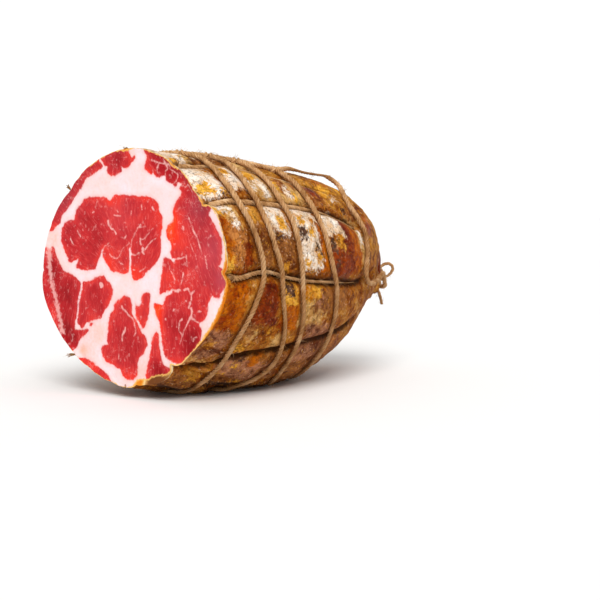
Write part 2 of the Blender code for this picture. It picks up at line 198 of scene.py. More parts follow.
# A crease that no twine lies in, and the twine along the top: angle against distance from the cut
LOW_CREASE = ((0, 300), (8, 304), (17, 311), (27, 318), (36, 322), (50, 325), (80, 329),
              (110, 330), (160, 316))
RIDGE = ((0, 88), (20, 86), (45, 82), (62, 78), (80, 72), (160, 72))
RIDGE_LIFTS = (80.0, 90.0)
RIDGE_START = 20.0
RIDGE_CREASE_STARTS = (10.0, 20.0)
# Hoops: distance from the cut against angle, once round
HOOPS = (
    ((-110, 20), (-90, 21), (-78, 21.5), (-66, 20), (-52, 19), (-40, 17), (-30, 15.4),
     (-22, 16), (-12, 18), (2, 21.5), (10, 20.5), (22, 18), (33, 16), (42, 16.4), (58, 20.5),
     (66, 23), (76, 26), (88, 25), (105, 20), (130, 14), (160, 13), (200, 16)),
    ((-120, 35), (-104, 36.5), (-88, 37.5), (-76, 38), (-68, 39.5), (-61, 43), (-54, 46.6),
     (-46, 48), (-36, 46.2), (-28, 43.6), (-20, 40.4), (-8, 35.2), (3, 33.6), (15, 30.6),
     (30, 29), (42, 29.8), (52, 32), (62, 34.8), (76, 40), (88, 42), (105, 39), (130, 33),
     (160, 32), (210, 34)),
    ((-120, 67), (-100, 71), (-84, 74), (-72, 71), (-62, 65), (-52, 60.5), (-40, 57.6), (-26, 55.2),
     (-16, 52.4), (-5, 49.2), (10, 48.2), (25, 48.8), (37, 47.6), (50, 49.5), (62, 51.5),
     (76, 56), (88, 58), (105, 56), (130, 52), (160, 53), (210, 60)),
    ((-120, 89), (-100, 92), (-80, 93), (-60, 87), (-40, 83.5), (-20, 80.5), (-2, 77.2), (8, 73.6),
     (20, 72.5), (32, 71.8), (43, 72), (58, 74.5), (68, 76.5), (78, 79), (90, 80), (105, 78),
     (130, 76), (160, 78), (210, 84)),
)
# Tail string: distance from the cut, angle, rise over the skin
TAIL_STRING = ((81, 72, 1.7), (88, 73, 2.7), (95, 73, 2.9), (103, 71.5, 3.2), (112, 70.5, 4.0),
               (118, 70, 4.2), (122.5, 67, 3.4), (123, 62, 2.4), (118, 55, 2.2),
               (113, 48, 2.2), (110.5, 40, 2.2), (112, 31, 2.2), (114, 24.5, 2.2),
               (114, 18, 2.2), (111.5, 10, 2.2), (108.5, 4, 2.2), (108, -1, 2.2),
               (113, -6, 2.2), (124, -10, 2.2), (136, -12, 2.2), (147, -14, 2.3),
               (154, -16, 2.4), (157.5, -18, 2.6))


def closed_line(points):
    """Return a smooth curve that closes once round."""
    turns = [(angle + turn, value) for turn in (-360, 0, 360) for angle, value in points]
    return smooth_line(sorted(turns))


def on_skin(x, angle, rise):
    """Middle of a twine that lies proud of the skin, or is pressed up where the log rests."""
    points = surface(x, angle) + outward(x, angle) * np.asarray(rise, float)[..., None]
    points[..., 2] = np.maximum(points[..., 2], TWINE_RADIUS + LOWEST_TWINE)
    return points


def string_sink(x, sink_at_cut):
    """Depth of a long string's middle: deep in its crease, then proud near the tail."""
    sink = sink_at_cut + (STRING_SINK - sink_at_cut) * smooth_step(x, 0, STRING_SINKS_OVER)
    rise = smooth_step(x, STRING_RISES_FROM, STRING_RISES_TO)
    return sink - (sink + HOOP_RISE) * rise


hoop_lines = [closed_line(points) for points in HOOPS]
string_lines = {name: smooth_line(points) for name, _, _, _, points in LONG_STRINGS}
ridge_line = smooth_line(RIDGE)
low_line = smooth_line(LOW_CREASE)

# The skin's grid, finer on the near side
COLUMNS = 480
RINGS = 198
SAMPLES_ROUND = 3601
SAMPLES_ALONG = 4001
NEAR_SIDE = (-75.0, 100.0)
NEAR_SIDE_BLENDS_OVER = 15.0
NEAR_FINENESS = 1.6
# How the twine presses the skin in. OUT_OF_REACH on top of a gap hides a crease, and FARTHEST is where
# the search for the nearest one starts
OUT_OF_REACH = 40.0
FARTHEST = 99.0
CREASE_BED = TWINE_RADIUS + 0.15
CREASE_SPREAD = 2.3
CREASE_SPREAD_AT_CUT = 0.6
LOW_CREASE_SPREAD = CREASE_SPREAD * 0.8
HOOP_BED = TWINE_RADIUS + 0.05
HOOP_SPREAD = 2.1
# How the meat fills it out between, less at the cut and the tail
PILLOW_HEIGHT = 0.8
PILLOW_FROM_HOOP = 6.5
PILLOW_FROM_STRING = 8.0
PILLOW_SINKS = (120.0, 150.0)
PILLOW_SINKING = 0.6
FULLNESS_AT_CUT = 0.25
FULL_FROM = 9.0
MOST_RISE = 2.2
# Local swellings of the near side: distance from the cut, angle, reach in mm, height
BULGES = ((94, 15, 14, 1.6), (58, 22, 10, 0.5), (41, 11, 7, 0.5), (8, -12, 10, 0.8),
          (30, -14, 9, 0.7), (110, 20, 5, -0.9), (128, 36, 14, 0.7), (92, 50, 10, 0.5))
# Lumps of the meat: size in mm, seed, height
FLESH_LUMPS = ((15, 3, 0.5), (6, 4, 0.32), (2.6, 5, 0.16))
# Loose skin wrinkles, folds at the tail and lies in ragged layers under the log. Each is noise drawn
# out along the log: how far it is drawn out, and how many lumps there are in the log's radius
WRINKLE_GRAIN = (5.5, 24.0)
WRINKLE_SIZE = 2.2
WRINKLE_HEIGHT = 0.45
WRINKLES_OFF_HOOP = (0.5, 3.0)
TAIL_FOLD_GRAIN = (26.0, 2.9)
TAIL_FOLD_DEPTH = 1.7
TAIL_FOLDS = (112.0, 146.0)
TAIL_FOLDS_RADIUS = (2.0, 12.0)
LAYER_GRAIN = (15.0, 13.0)
LAYERS_FROM_CUT = (0.0, 5.0)
LAYERS_END = (70.0, 110.0)
LAYERS_LOWEST = (-104.0, -88.0)
LAYERS_HIGHEST = (-52.0, -42.0)
# Patches of the near side: least and most distance from the cut, least and most angle
PATCHES = {
    "haze": ((-2, 30, 64, 100), (40, 70, 62, 88), (51, 74, 38, 64), (102, 113, 6, 32),
             (21.5, 27, -30, -24), (38, 44, -38, -26), (0, 13, 20, 35), (31, 50, 38, 62),
             (50, 70, -24, -8), (0, 12, -58, -49), (22, 34, -90, -76), (44, 60, -86, -70)),
    "honey": ((18, 27, 24, 35), (112, 152, 10, 20), (110, 152, 44, 80), (88, 112, 40, 60),
              (2, 7, -41, -35), (6, 14, -63, -57), (30, 42, 24, 30), (134, 152, 20, 44),
              (60, 76, 64, 82), (84, 100, 60, 84)),
    "rust": ((-2, 13, 2, 24), (78, 92, 40, 58), (54, 62, 44, 56), (104, 116, 34, 50),
             (66, 74, 50, 62), (22, 30, 64, 72), (2, 14, -66, -50), (60, 100, -60, -30)),
    # Dull patches are grey-brown skin; those low on the underside are also painted shade
    "dull": ((33, 48, 4, 19), (18, 30, 4, 24), (60, 90, -16, -3), (40, 56, -58, -36),
             (18, 40, 66, 80), (112, 120, 4, 12), (-2, 24, -90, -64), (60, 130, -90, -44),
             (14, 23, -30, -20), (20, 50, -66, -54)),
    "lilac": ((-2, 13, -47, -28), (18, 50, -58, -44), (59, 67, -12, -5), (60, 84, -44, -22),
              (80, 90, 2, 14), (18, 24, -46, -38)),
    "clear": ((-2, 13, -28, 2), (68, 73.5, 3, 29), (94, 105, 2, 26),
              (36, 50, -24, -10), (13, 18, 44, 54), (104, 110, 56, 66), (24.5, 30.5, -17, -9),
              (122, 128, 24, 32), (-2, 4.5, 2, 26), (33, 37, -46, -38)),
    "lean": ((20, 34, -21, -2), (84, 96, 1, 32), (76, 88, 1, 15), (80, 87, 45, 54), (11, 17, 2, 14),
             (118, 128, 18, 28)),
    "bloom": ((0.5, 17, 39, 63), (21, 31, 43, 63), (33, 37, 44, 60), (39, 46, 41, 53),
              (32, 46, 20, 37), (51, 70, 28, 37), (51, 67.5, 4, 30), (75, 89, 21, 37),
              (0.5, 8, 27, 35), (8, 10, 22, 33), (18, 21.5, 31, 36), (107, 112, 16, 23),
              (0.5, 13, 67, 84), (22, 30, 74, 82), (95, 103, 44, 50), (57, 61, 42, 50)),
    "ochre": ((20, 28, 54, 62), (37.5, 43.5, 22, 29), (54, 57.5, 26.5, 30.5), (63, 66, 26, 30),
              (57.5, 64, 19, 25), (63, 67, 8, 12.5), (52, 57, 5.5, 10), (82.5, 86.5, 15, 22),
              (35, 47, -12, -1), (0, 4, -4, 6), (20, 25, -40, -35), (31, 34, -28, -23),
              (90, 97, 46, 60), (51, 66, -9, -1), (35, 41, 2.5, 6), (37, 41, 52, 61),
              (1.5, 9, 42, 48), (13, 17, 56, 62), (3, 8, 65, 71), (102, 107, 52, 62),
              (0.5, 4, 26, 32), (13, 17, 39, 44), (52, 55, 46, 58), (62, 66, 40, 47),
              (114, 122, 54, 63), (97, 101, 47, 53), (26, 29.5, -51, -48), (12, 15, -65, -62),
              (36, 39, -61, -58), (8, 11, -55, -52), (44, 47, -52, -49), (22, 24, -58, -55)),
    # soot is dark mould, and painted shadow under the log, along the low crease and beside the tail string
    "soot": ((51.5, 56, 18, 25), (34.5, 41, 16.5, 20), (77, 80, 13, 20), (79, 82.5, 4, 9),
             (100, 105, 35, 40), (62, 66, 13, 17.5), (12, 14.5, 36, 41), (37.5, 44.5, -8, -2),
             (14, 30, -46, -42), (22, 56, -70, -62), (27, 31, 38, 42.5), (30, 70, -84, -72),
             (6, 20, -84, -74)),
}
# Where these give way to wild patches: at the lower edge, at the upper edge and toward the tail
DRAWN_FROM = (-96.0, -82.0)
DRAWN_TO = (84.0, 98.0)
DRAWN_TILL = (138.0, 152.0)
# Wild patches: lump size in mm, and how far its noise must rise above its middle
WILD_PATCHES = {"haze": (22, 0.14), "rust": (19, 0.10), "dull": (21, 0.16), "lilac": (24, 0.34),
                "clear": (26, 0.16), "lean": (30, 0.32), "honey": (16, 0.12), "bloom": (15, 0.26),
                "ochre": (8, 0.38), "soot": (7, 0.54)}
WILD_SLOPE = 8.0
# Bloom grows on the upper side and on the swells, and less where the twine presses
POWDERS = ("haze", "bloom", "ochre")
BLOOM_ABOVE = 0.10
BLOOM_OFF_TWINE = 0.22
BLOOM_OFF_TWINE_OVER = 3.0
# A patch's edge wanders, and its amount, in mm, goes no further than this
EDGE_WANDER = 1.2
EDGE_LUMP_SIZE = 5.0
AMOUNT_LIMIT = 6.0
FARTHEST_OUTSIDE = -9.0
# Seeds of the patches' noise, of their finer noise and of their edges
PATCH_SEEDS = (20, 60, 80)


def column_angles():
    """Angles of the columns, closer together on the near side."""
    fine = np.linspace(-180, 180, SAMPLES_ROUND)
    near = smooth_step(fine, NEAR_SIDE[0] - NEAR_SIDE_BLENDS_OVER, NEAR_SIDE[0])
    near = near - smooth_step(fine, NEAR_SIDE[1], NEAR_SIDE[1] + NEAR_SIDE_BLENDS_OVER)
    weight = 1 + (NEAR_FINENESS - 1) * near
    share = np.concatenate(((0,), np.cumsum((weight[1:] + weight[:-1]) / 2)))
    return np.interp(np.arange(COLUMNS) / COLUMNS * share[-1], share, fine)


def ring_stations():
    """Distances from the cut of the rings, evenly spaced along the skin."""
    fine = LOG_LENGTH * np.sin(np.linspace(0, math.pi / 2, SAMPLES_ALONG))
    profile = surface(fine, 0.0)
    share = np.concatenate(((0,), np.cumsum(np.linalg.norm(np.diff(profile, axis=0), axis=1))))
    return np.interp(np.arange(RINGS) / RINGS * share[-1], share, fine)


def gap_to(line, x, angle, radius):
    """Millimetres round the skin from a line that runs along the log."""
    return np.abs(np.radians(turn_between(angle, line(x)))) * radius


def hoop_distance(x, angle, radius):
    """Millimetres from the nearest hoop."""
    nearest = np.full(x.shape, FARTHEST)
    for line in hoop_lines:
        slope = (line(angle + 1) - line(angle - 1)) / (np.radians(2) * radius)
        nearest = np.minimum(nearest, np.abs(x - line(angle)) / np.sqrt(1 + slope ** 2))
    return nearest


def ridge_distance(x, angle, radius):
    """Millimetres from the twine along the top, where that lies on the skin."""
    lifted = 1 + smooth_step(x, *RIDGE_LIFTS) - smooth_step(x, *RIDGE_CREASE_STARTS)
    return gap_to(ridge_line, x, angle, radius) + OUT_OF_REACH * lifted


def creases(x, angle, radius):
    """Depth of the creases that run along the log, and millimetres from the nearest."""
    nearest = np.full(x.shape, FARTHEST)
    deepest = np.zeros(x.shape)
    from_notch = smooth_step(x, 0, NOTCH_DEEPENS_OVER)
    spread = CREASE_SPREAD * (CREASE_SPREAD_AT_CUT + (1 - CREASE_SPREAD_AT_CUT) * from_notch)
    for name, _, _, sink_at_cut, _ in LONG_STRINGS:
        gap = gap_to(string_lines[name], x, angle, radius)
        depth = string_sink(x, sink_at_cut) + CREASE_BED
        if name in CREASE_FADES:
            gone = smooth_step(x, *CREASE_FADES[name])
            depth = depth * (1 - gone)
            gap = gap + OUT_OF_REACH * gone
        notch = NOTCHES.get(name, PLAIN_NOTCH)
        depth = depth * (notch + (1 - notch) * from_notch)
        deepest = np.maximum(deepest, depth * np.exp(-gap / spread))
        nearest = np.minimum(nearest, gap)
    gap = gap_to(low_line, x, angle, radius)
    depth = LOW_CREASE_DEPTH * (1 - smooth_step(x, STRING_RISES_FROM, LOG_LENGTH))
    deepest = np.maximum(deepest, depth * np.exp(-gap / LOW_CREASE_SPREAD))
    return deepest, np.minimum(nearest, gap)


def swelling_between(x, angle, skin, radius, twine_gap, string_gap):
    """How far the meat swells the skin out between the twines."""
    pillow = 1 - np.exp(-(twine_gap / PILLOW_FROM_HOOP) ** 2)
    pillow = pillow * (1 - np.exp(-(string_gap / PILLOW_FROM_STRING) ** 2)) * PILLOW_HEIGHT
    pillow = pillow * (1 - PILLOW_SINKING * smooth_step(x, *PILLOW_SINKS))
    bulge = 0.0
    for at, turn, reach, height in BULGES:
        away = (x - at) ** 2 + (np.radians(turn_between(angle, turn)) * radius) ** 2
        bulge = bulge + height * np.exp(-away / reach ** 2)
    flesh = sum(height * lumps(skin, size, seed) for size, seed, height in FLESH_LUMPS)
    fuller = FULLNESS_AT_CUT + (1 - FULLNESS_AT_CUT) * smooth_step(x, 0, FULL_FROM)
    return (pillow + bulge + flesh) * fuller


def drawn_out(x, angle, grain):
    """Places for noise that is drawn out along the log."""
    stretch, lumps_in_radius = grain
    turn = np.radians(angle)
    return np.stack((x / stretch, np.cos(turn) * lumps_in_radius, np.sin(turn) * lumps_in_radius), -1)


def wrinkles_at(x, angle, hoop_gap):
    """Height of the fine wrinkles, which stop at the hoops."""
    noise = lumps(drawn_out(x, angle, WRINKLE_GRAIN), WRINKLE_SIZE, 8)
    return WRINKLE_HEIGHT * (0.4 - np.abs(noise)) * smooth_step(hoop_gap, *WRINKLES_OFF_HOOP)


def folds_at(x, angle, radius):
    """Height of the folds at the tail and of the layers of slack skin under the log."""
    folds = np.abs(lumps(drawn_out(x, angle, TAIL_FOLD_GRAIN), 1.0, 11)) * 1.7 - 0.62
    folds = folds * TAIL_FOLD_DEPTH * smooth_step(x, *TAIL_FOLDS) * smooth_step(radius, *TAIL_FOLDS_RADIUS)
    slack = smooth_step(angle, *LAYERS_LOWEST) * (1 - smooth_step(angle, *LAYERS_HIGHEST))
    slack = slack * (1 - smooth_step(x, *LAYERS_END))
    layered = drawn_out(x, angle, LAYER_GRAIN)
    layers = 0.6 - 2.0 * np.abs(lumps(layered, 1.0, 14)) + 0.5 * lumps(layered, 0.4, 15)
    return folds + slack * layers * smooth_step(x, *LAYERS_FROM_CUT)


def press(x, angle):
    """Points of the finished skin, with its radius and its distance from twine and from creases."""
    skin = surface(x, angle)
    normal = outward(x, angle)
    middle = np.stack((x, middle_side(x), middle_height(x)), -1)
    radius = np.linalg.norm(skin - middle, axis=-1)
    hoop_gap = hoop_distance(x, angle, radius)
    twine_gap = np.minimum(hoop_gap, ridge_distance(x, angle, radius))
    crease, string_gap = creases(x, angle, radius)
    bed_depth = np.sum((skin - on_skin(x, angle, HOOP_RISE + 0 * x)) * normal, -1) + HOOP_BED
    beds = np.exp(-(twine_gap / HOOP_SPREAD) ** 2) * bed_depth
    rise = swelling_between(x, angle, skin, radius, twine_gap, string_gap)
    rise = rise + wrinkles_at(x, angle, hoop_gap) + folds_at(x, angle, radius)
    rise = np.minimum(rise, MOST_RISE) - np.maximum(beds, crease)
    return skin + normal * rise[..., None], radius, twine_gap, string_gap


def patch_amount(kind, x, angle, radius, skin, gap):
    """Millimetres inside a patch of one kind, negative outside."""
    drawn = np.full(x.shape, FARTHEST_OUTSIDE)
    for least_x, most_x, least_angle, most_angle in PATCHES[kind]:
        half = (most_angle - least_angle) / 2
        turn = np.abs(turn_between(angle, least_angle + half))
        reach = np.minimum(np.minimum(x - least_x, most_x - x), np.radians(half - turn) * radius)
        drawn = np.maximum(drawn, reach)
    seed, finer_seed, edge_seed = (first + sorted(PATCHES).index(kind) for first in PATCH_SEEDS)
    size, threshold = WILD_PATCHES[kind]
    wild = 0.65 * lumps(skin, size, seed) + 0.35 * lumps(skin, size / 2.6, finer_seed) - threshold
    if kind in POWDERS:
        off_twine = BLOOM_OFF_TWINE * np.exp(-(gap / BLOOM_OFF_TWINE_OVER) ** 2)
        wild = wild + BLOOM_ABOVE * np.sin(np.radians(angle)) - off_twine
    near = smooth_step(angle, *DRAWN_FROM) - smooth_step(angle, *DRAWN_TO)
    near = near * (1 - smooth_step(x, *DRAWN_TILL))
    amount = drawn * near + wild * WILD_SLOPE * (1 - near)
    amount = amount + EDGE_WANDER * lumps(skin, EDGE_LUMP_SIZE, edge_seed)
    return np.clip(amount, -AMOUNT_LIMIT, AMOUNT_LIMIT)


def new_mesh(name, points, faces, amounts, material):
    """Make a smooth mesh object with one float attribute for each named amount."""
    mesh = bpy.data.meshes.new(name)
    mesh.from_pydata(to_frame(points).tolist(), [], faces)
    for attribute, values in amounts.items():
        layer = mesh.attributes.new(attribute, "FLOAT", "POINT")
        layer.data.foreach_set("value", np.asarray(values, np.float32))
    mesh.materials.append(material)
    mesh.shade_smooth()
    thing = bpy.data.objects.new(name, mesh)
    bpy.context.scene.collection.objects.link(thing)
    return thing


def colour(code):
    """Turn an sRGB hex code to the linear colour that a shader takes."""
    shares = np.array([int(code[i:i + 2], 16) for i in (1, 3, 5)]) / 255
    linear = np.where(shares > 0.04045, ((shares + 0.055) / 1.055) ** 2.4, shares / 12.92)
    return (*linear.tolist(), 1.0)


def add_node(tree, kind, inputs=None, stops=None, **settings):
    """Add a node with its settings, and link or set its inputs."""
    new = tree.nodes.new(kind)
    for name, value in settings.items():
        setattr(new, name, value)
    for socket, value in (inputs or {}).items():
        if isinstance(value, bpy.types.NodeSocket):
            tree.links.new(value, new.inputs[socket])
        else:
            new.inputs[socket].default_value = value
    for i, (place, code) in enumerate(stops or ()):
        stop = new.color_ramp.elements[i] if i < 2 else new.color_ramp.elements.new(place)
        stop.position = place
        stop.color = colour(code)
    return new


def new_material(name, **fixed):
    """Make a material and return it with its tree, its shader and millimetre coordinates."""
    material = bpy.data.materials.new(name)
    material.use_nodes = True
    tree = material.node_tree
    shader = tree.nodes["Principled BSDF"]
    for socket, value in fixed.items():
        shader.inputs[socket.replace("_", " ")].default_value = value
    place = add_node(tree, "ShaderNodeTexCoord").outputs["Object"]
    place = add_node(tree, "ShaderNodeMapping", {"Vector": place, "Scale": (1000, 1000, 1000)})
    return material, tree, shader, place.outputs["Vector"]


# Dried casing: satin where it is clear, dull and powdery where bloom sits on it. Its lumps are
# 11, 3.5 and 0.9 mm; grain finer than that is drawn at 0.9 mm so that it shows.
casing_finish, tree, shader, place = new_material(
    "dried_natural_casing", Specular_IOR_Level=0.03, Subsurface_Weight=0.0)
swirl = add_node(tree, "ShaderNodeTexNoise", {
    "Vector": place, "Scale": 1 / 6, "Detail": 2.0}).outputs["Color"]
swirl = add_node(tree, "ShaderNodeVectorMath", {0: swirl, 1: (5.0, 5.0, 5.0), 2: place},
                 operation="MULTIPLY_ADD").outputs[0]
cloud = add_node(tree, "ShaderNodeTexNoise", {
    "Vector": swirl, "Scale": 1 / 11, "Detail": 3.0}).outputs["Fac"]
mottle = add_node(tree, "ShaderNodeTexNoise", {
    "Vector": swirl, "Scale": 1 / 3.5, "Detail": 4.0, "Roughness": 0.62}).outputs["Fac"]
grit = add_node(tree, "ShaderNodeTexNoise", {
    "Vector": place, "Scale": 1 / 0.9, "Detail": 2.0, "Roughness": 0.7}).outputs["Fac"]
both = add_node(tree, "ShaderNodeMix", {0: 0.55, 2: cloud, 3: mottle}, data_type="FLOAT").outputs[0]
both = add_node(tree, "ShaderNodeMix", {0: 0.15, 2: both, 3: grit}, data_type="FLOAT").outputs[0]
base = add_node(tree, "ShaderNodeValToRGB", {"Fac": both}, stops=(
    (0.32, "#3A1806"), (0.68, "#DCAC6A"), (0.41, "#6A2E06"), (0.49, "#965010"),
    (0.57, "#BA7A2C"))).outputs[0]
# Layers of the casing: patch, its grain in mm, how soft its edge is, how whole the patch is, and its
# darker and lighter colour
CASING_LAYERS = (
    ("haze", 3.2, 0.13, 0.075, "#9A601E", "#E2B470"), ("rust", 3.0, 0.14, 0.070, "#6C2A08", "#C27C3E"),
    # Dull is grey-brown skin, and on the underside painted shade as well
    ("dull", 4.0, 0.12, 0.075, "#5E2C0E", "#A66834"), ("lilac", 3.0, 0.12, 0.075, "#5E2C16", "#C0825C"),
    ("clear", 6.0, 0.12, 0.075, "#842A00", "#C46800"), ("lean", 6.0, 0.12, 0.075, "#561202", "#943A08"),
    ("honey", 3.4, 0.14, 0.080, "#864608", "#D29238"),
    ("bloom", 2.0, 0.08, 0.078, "#DEB78C", "#FCF0E2"), ("ochre", 1.6, 0.09, 0.085, "#AC5C02", "#F6B644"),
    # The last layer is dark mould, and painted shadow where it lies under the log and in the low crease
    ("soot", 1.5, 0.10, 0.085, "#24120A", "#644434"),
)
masks = {}
for i, (kind, grain, soft, whole, dark, light) in enumerate(CASING_LAYERS):
    amount = add_node(tree, "ShaderNodeAttribute", attribute_name=kind).outputs["Fac"]
    # Moved, so that no two layers break up alike
    moved = add_node(tree, "ShaderNodeVectorMath", {0: swirl, 1: (37.0 * i, 0.0, 11.0)}).outputs[0]
    broken = add_node(tree, "ShaderNodeTexNoise", {
        "Vector": moved, "Scale": 1 / grain, "Detail": 4.0, "Roughness": 0.65}).outputs["Fac"]
    edge = add_node(tree, "ShaderNodeMath", {0: amount, 1: whole, 2: broken},
                    operation="MULTIPLY_ADD").outputs[0]
    masks[kind] = add_node(tree, "ShaderNodeMapRange", {
        "Value": edge, "From Min": 0.5 - soft, "From Max": 0.5 + soft},
        interpolation_type="SMOOTHSTEP").outputs[0]
    strength = add_node(tree, "ShaderNodeMapRange", {
        "Value": both, "From Min": 0.40, "From Max": 0.585}).outputs[0]
    paint = add_node(tree, "ShaderNodeMix", {0: strength, 6: colour(dark), 7: colour(light)},
                     data_type="RGBA").outputs[2]
    base = add_node(tree, "ShaderNodeMix", {0: masks[kind], 6: base, 7: paint},
                    data_type="RGBA").outputs[2]
# Grains of ochre, dark pits and pale specks, the pale specks a painted highlight, fewer where the skin is
# clear: size in mm, noise between, strength, colour. Then fine wrinkles.
GRAINS_AND_PAINTED_GLINTS = ((1.7, 0.61, 0.70, 0.6, "#CE8826"), (1.3, 0.62, 0.72, 0.6, "#3E1C0A"),
                 (1.5, 0.62, 0.74, 0.5, "#E2B48C"))
wet = add_node(tree, "ShaderNodeMath", {0: masks["clear"], 1: masks["lean"]},
               operation="MAXIMUM").outputs[0]
dry = add_node(tree, "ShaderNodeMapRange", {"Value": wet, "To Min": 1.0, "To Max": 0.35}).outputs[0]
for size, least, most, strength, tint in GRAINS_AND_PAINTED_GLINTS:
    moved = add_node(tree, "ShaderNodeVectorMath", {0: place, 1: (0.0, 91.0 * size, 0.0)}).outputs[0]
    grain = add_node(tree, "ShaderNodeTexNoise", {
        "Vector": moved, "Scale": 1 / size, "Detail": 1.5}).outputs["Fac"]
    grain = add_node(tree, "ShaderNodeMapRange", {
        "Value": grain, "From Min": least, "From Max": most, "To Max": strength}).outputs[0]
    grain = add_node(tree, "ShaderNodeMath", {0: grain, 1: dry}, operation="MULTIPLY").outputs[0]
    base = add_node(tree, "ShaderNodeMix", {0: grain, 6: base, 7: colour(tint)},
                    data_type="RGBA").outputs[2]
wrinkles = add_node(tree, "ShaderNodeTexNoise", {
    "Vector": swirl, "Scale": 1 / 4.5, "Detail": 3.0, "Roughness": 0.6}).outputs["Fac"]
wrinkles = add_node(tree, "ShaderNodeMath", {0: wrinkles, 1: 0.5}, operation="SUBTRACT").outputs[0]
wrinkles = add_node(tree, "ShaderNodeMath", {0: wrinkles}, operation="ABSOLUTE").outputs[0]
wrinkles = add_node(tree, "ShaderNodeMapRange", {
    "Value": wrinkles, "From Min": 0.0, "From Max": 0.022, "To Min": 1.0, "To Max": 0.0}).outputs[0]
# Painted shade: a dark line along the folds of the fine wrinkles, which also bump the skin
line = add_node(tree, "ShaderNodeMath", {0: wrinkles, 1: 0.45}, operation="MULTIPLY").outputs[0]
base = add_node(tree, "ShaderNodeMix", {0: line, 6: base, 7: colour("#4E280E")},
                data_type="RGBA").outputs[2]
# Browner stain beside the twine, and painted shade in the creases and hoop beds (the darker rows): which
# gap, nearest and farthest, strength, colour
TWINE_STAIN_AND_PAINTED_SHADE = (("hoop_gap", -1.4, 1.2, 0.4, "#9E560E"), ("hoop_gap", -1.6, -0.7, 0.25, "#4A240A"),
                 ("crease_gap", -1.4, 1.2, 0.45, "#8C480C"), ("crease_gap", -1.2, 0.1, 0.85, "#2A1002"))
for kind, nearest, farthest, strength, tint in TWINE_STAIN_AND_PAINTED_SHADE:
    gap = add_node(tree, "ShaderNodeAttribute", attribute_name=kind).outputs["Fac"]
    gap = add_node(tree, "ShaderNodeMath", {0: mottle, 1: -5.0, 2: gap},
                   operation="MULTIPLY_ADD").outputs[0]
    shade = add_node(tree, "ShaderNodeMapRange", {
        "Value": gap, "From Min": nearest, "From Max": farthest, "To Min": strength,
        "To Max": 0.0}).outputs[0]
    base = add_node(tree, "ShaderNodeMix", {0: shade, 6: base, 7: colour(tint)},
                    data_type="RGBA").outputs[2]
# The knife has laid the casing's own edge bare in the last millimetre before the cut
rim = add_node(tree, "ShaderNodeAttribute", attribute_name="from_cut").outputs["Fac"]
rim = add_node(tree, "ShaderNodeMath", {0: mottle, 1: 3.0, 2: rim},
               operation="MULTIPLY_ADD").outputs[0]
rim = add_node(tree, "ShaderNodeMapRange", {
    "Value": rim, "From Min": 1.55, "From Max": 2.2, "To Min": 0.9, "To Max": 0.0}).outputs[0]
rim_tone = add_node(tree, "ShaderNodeAttribute", attribute_name="rim_tone").outputs["Fac"]
rim_tone = add_node(tree, "ShaderNodeValToRGB", {"Fac": rim_tone}, stops=(
    (0.0, "#84502A"), (1.0, "#DE8210"), (0.5, "#F4DEAE"))).outputs[0]
base = add_node(tree, "ShaderNodeMix", {0: rim, 6: base, 7: rim_tone}, data_type="RGBA").outputs[2]
tree.links.new(base, shader.inputs["Base Color"])
# Clear skin shines a little, plain skin less, and powder is matt and stands up in grains
powder = add_node(tree, "ShaderNodeMath", {0: masks["bloom"], 1: masks["ochre"]},
                  operation="MAXIMUM").outputs[0]
rough = add_node(tree, "ShaderNodeMix", {0: wet, 2: 0.58, 3: 0.36}, data_type="FLOAT").outputs[0]
rough = add_node(tree, "ShaderNodeMix", {0: powder, 2: rough, 3: 0.88}, data_type="FLOAT").outputs[0]
tree.links.new(rough, shader.inputs["Roughness"])
height = add_node(tree, "ShaderNodeMath", {0: wrinkles, 1: -0.35, 2: mottle},
                  operation="MULTIPLY_ADD").outputs[0]
coarse = add_node(tree, "ShaderNodeBump", {
    "Height": height, "Strength": 0.8, "Distance": 0.0012}).outputs[0]
height = add_node(tree, "ShaderNodeMath", {0: powder, 1: 0.6, 2: 0.4},
                  operation="MULTIPLY_ADD").outputs[0]
height = add_node(tree, "ShaderNodeMath", {0: height, 1: grit}, operation="MULTIPLY").outputs[0]
bump = add_node(tree, "ShaderNodeBump", {
    "Height": height, "Strength": 0.8, "Distance": 0.0007, "Normal": coarse}).outputs[0]
tree.links.new(bump, shader.inputs["Normal"])

# Angles where the casing's bare edge turns cream and back to brown, and amber and back to cream
RIM_CREAM = ((-75, -60), (95, 110))
RIM_AMBER = ((-52, -40), (-2, 6))
# Where the painted crease shade is weaker, and how much farther off the creases count as there
SHADE_FROM_CUT = (1.5, 5)
SHADE_LOST_AT_CUT = 2.5
SHADE_ENDS = (104, 132)
SHADE_LOST_AT_TAIL = 5

angles, stations = np.meshgrid(column_angles(), ring_stations())
skin_points, skin_radius, hoop_gap, string_gap = press(stations, angles)
skin_points[..., 2] = np.maximum(skin_points[..., 2], 0.0)
skin_points[0, :, 0] = 0.0
twine_gap = np.minimum(hoop_gap, string_gap)
amounts = {kind: patch_amount(kind, stations, angles, skin_radius, skin_points, twine_gap)
           for kind in PATCHES}
cream = smooth_step(angles, *RIM_CREAM[0]) - smooth_step(angles, *RIM_CREAM[1])
amber = smooth_step(angles, *RIM_AMBER[0]) - smooth_step(angles, *RIM_AMBER[1])
crease_gap = string_gap + SHADE_LOST_AT_CUT * (1 - smooth_step(stations, *SHADE_FROM_CUT))
crease_gap = crease_gap + SHADE_LOST_AT_TAIL * smooth_step(stations, *SHADE_ENDS)
amounts.update({"hoop_gap": hoop_gap, "crease_gap": crease_gap, "from_cut": stations,
                "rim_tone": 0.5 * cream + 0.5 * amber})
tail_tip = surface(LOG_LENGTH, 0.0)
skin_list = np.vstack((skin_points.reshape(-1, 3), tail_tip))
amounts = {kind: np.append(values.ravel(), values[-1].mean()) for kind, values in amounts.items()}
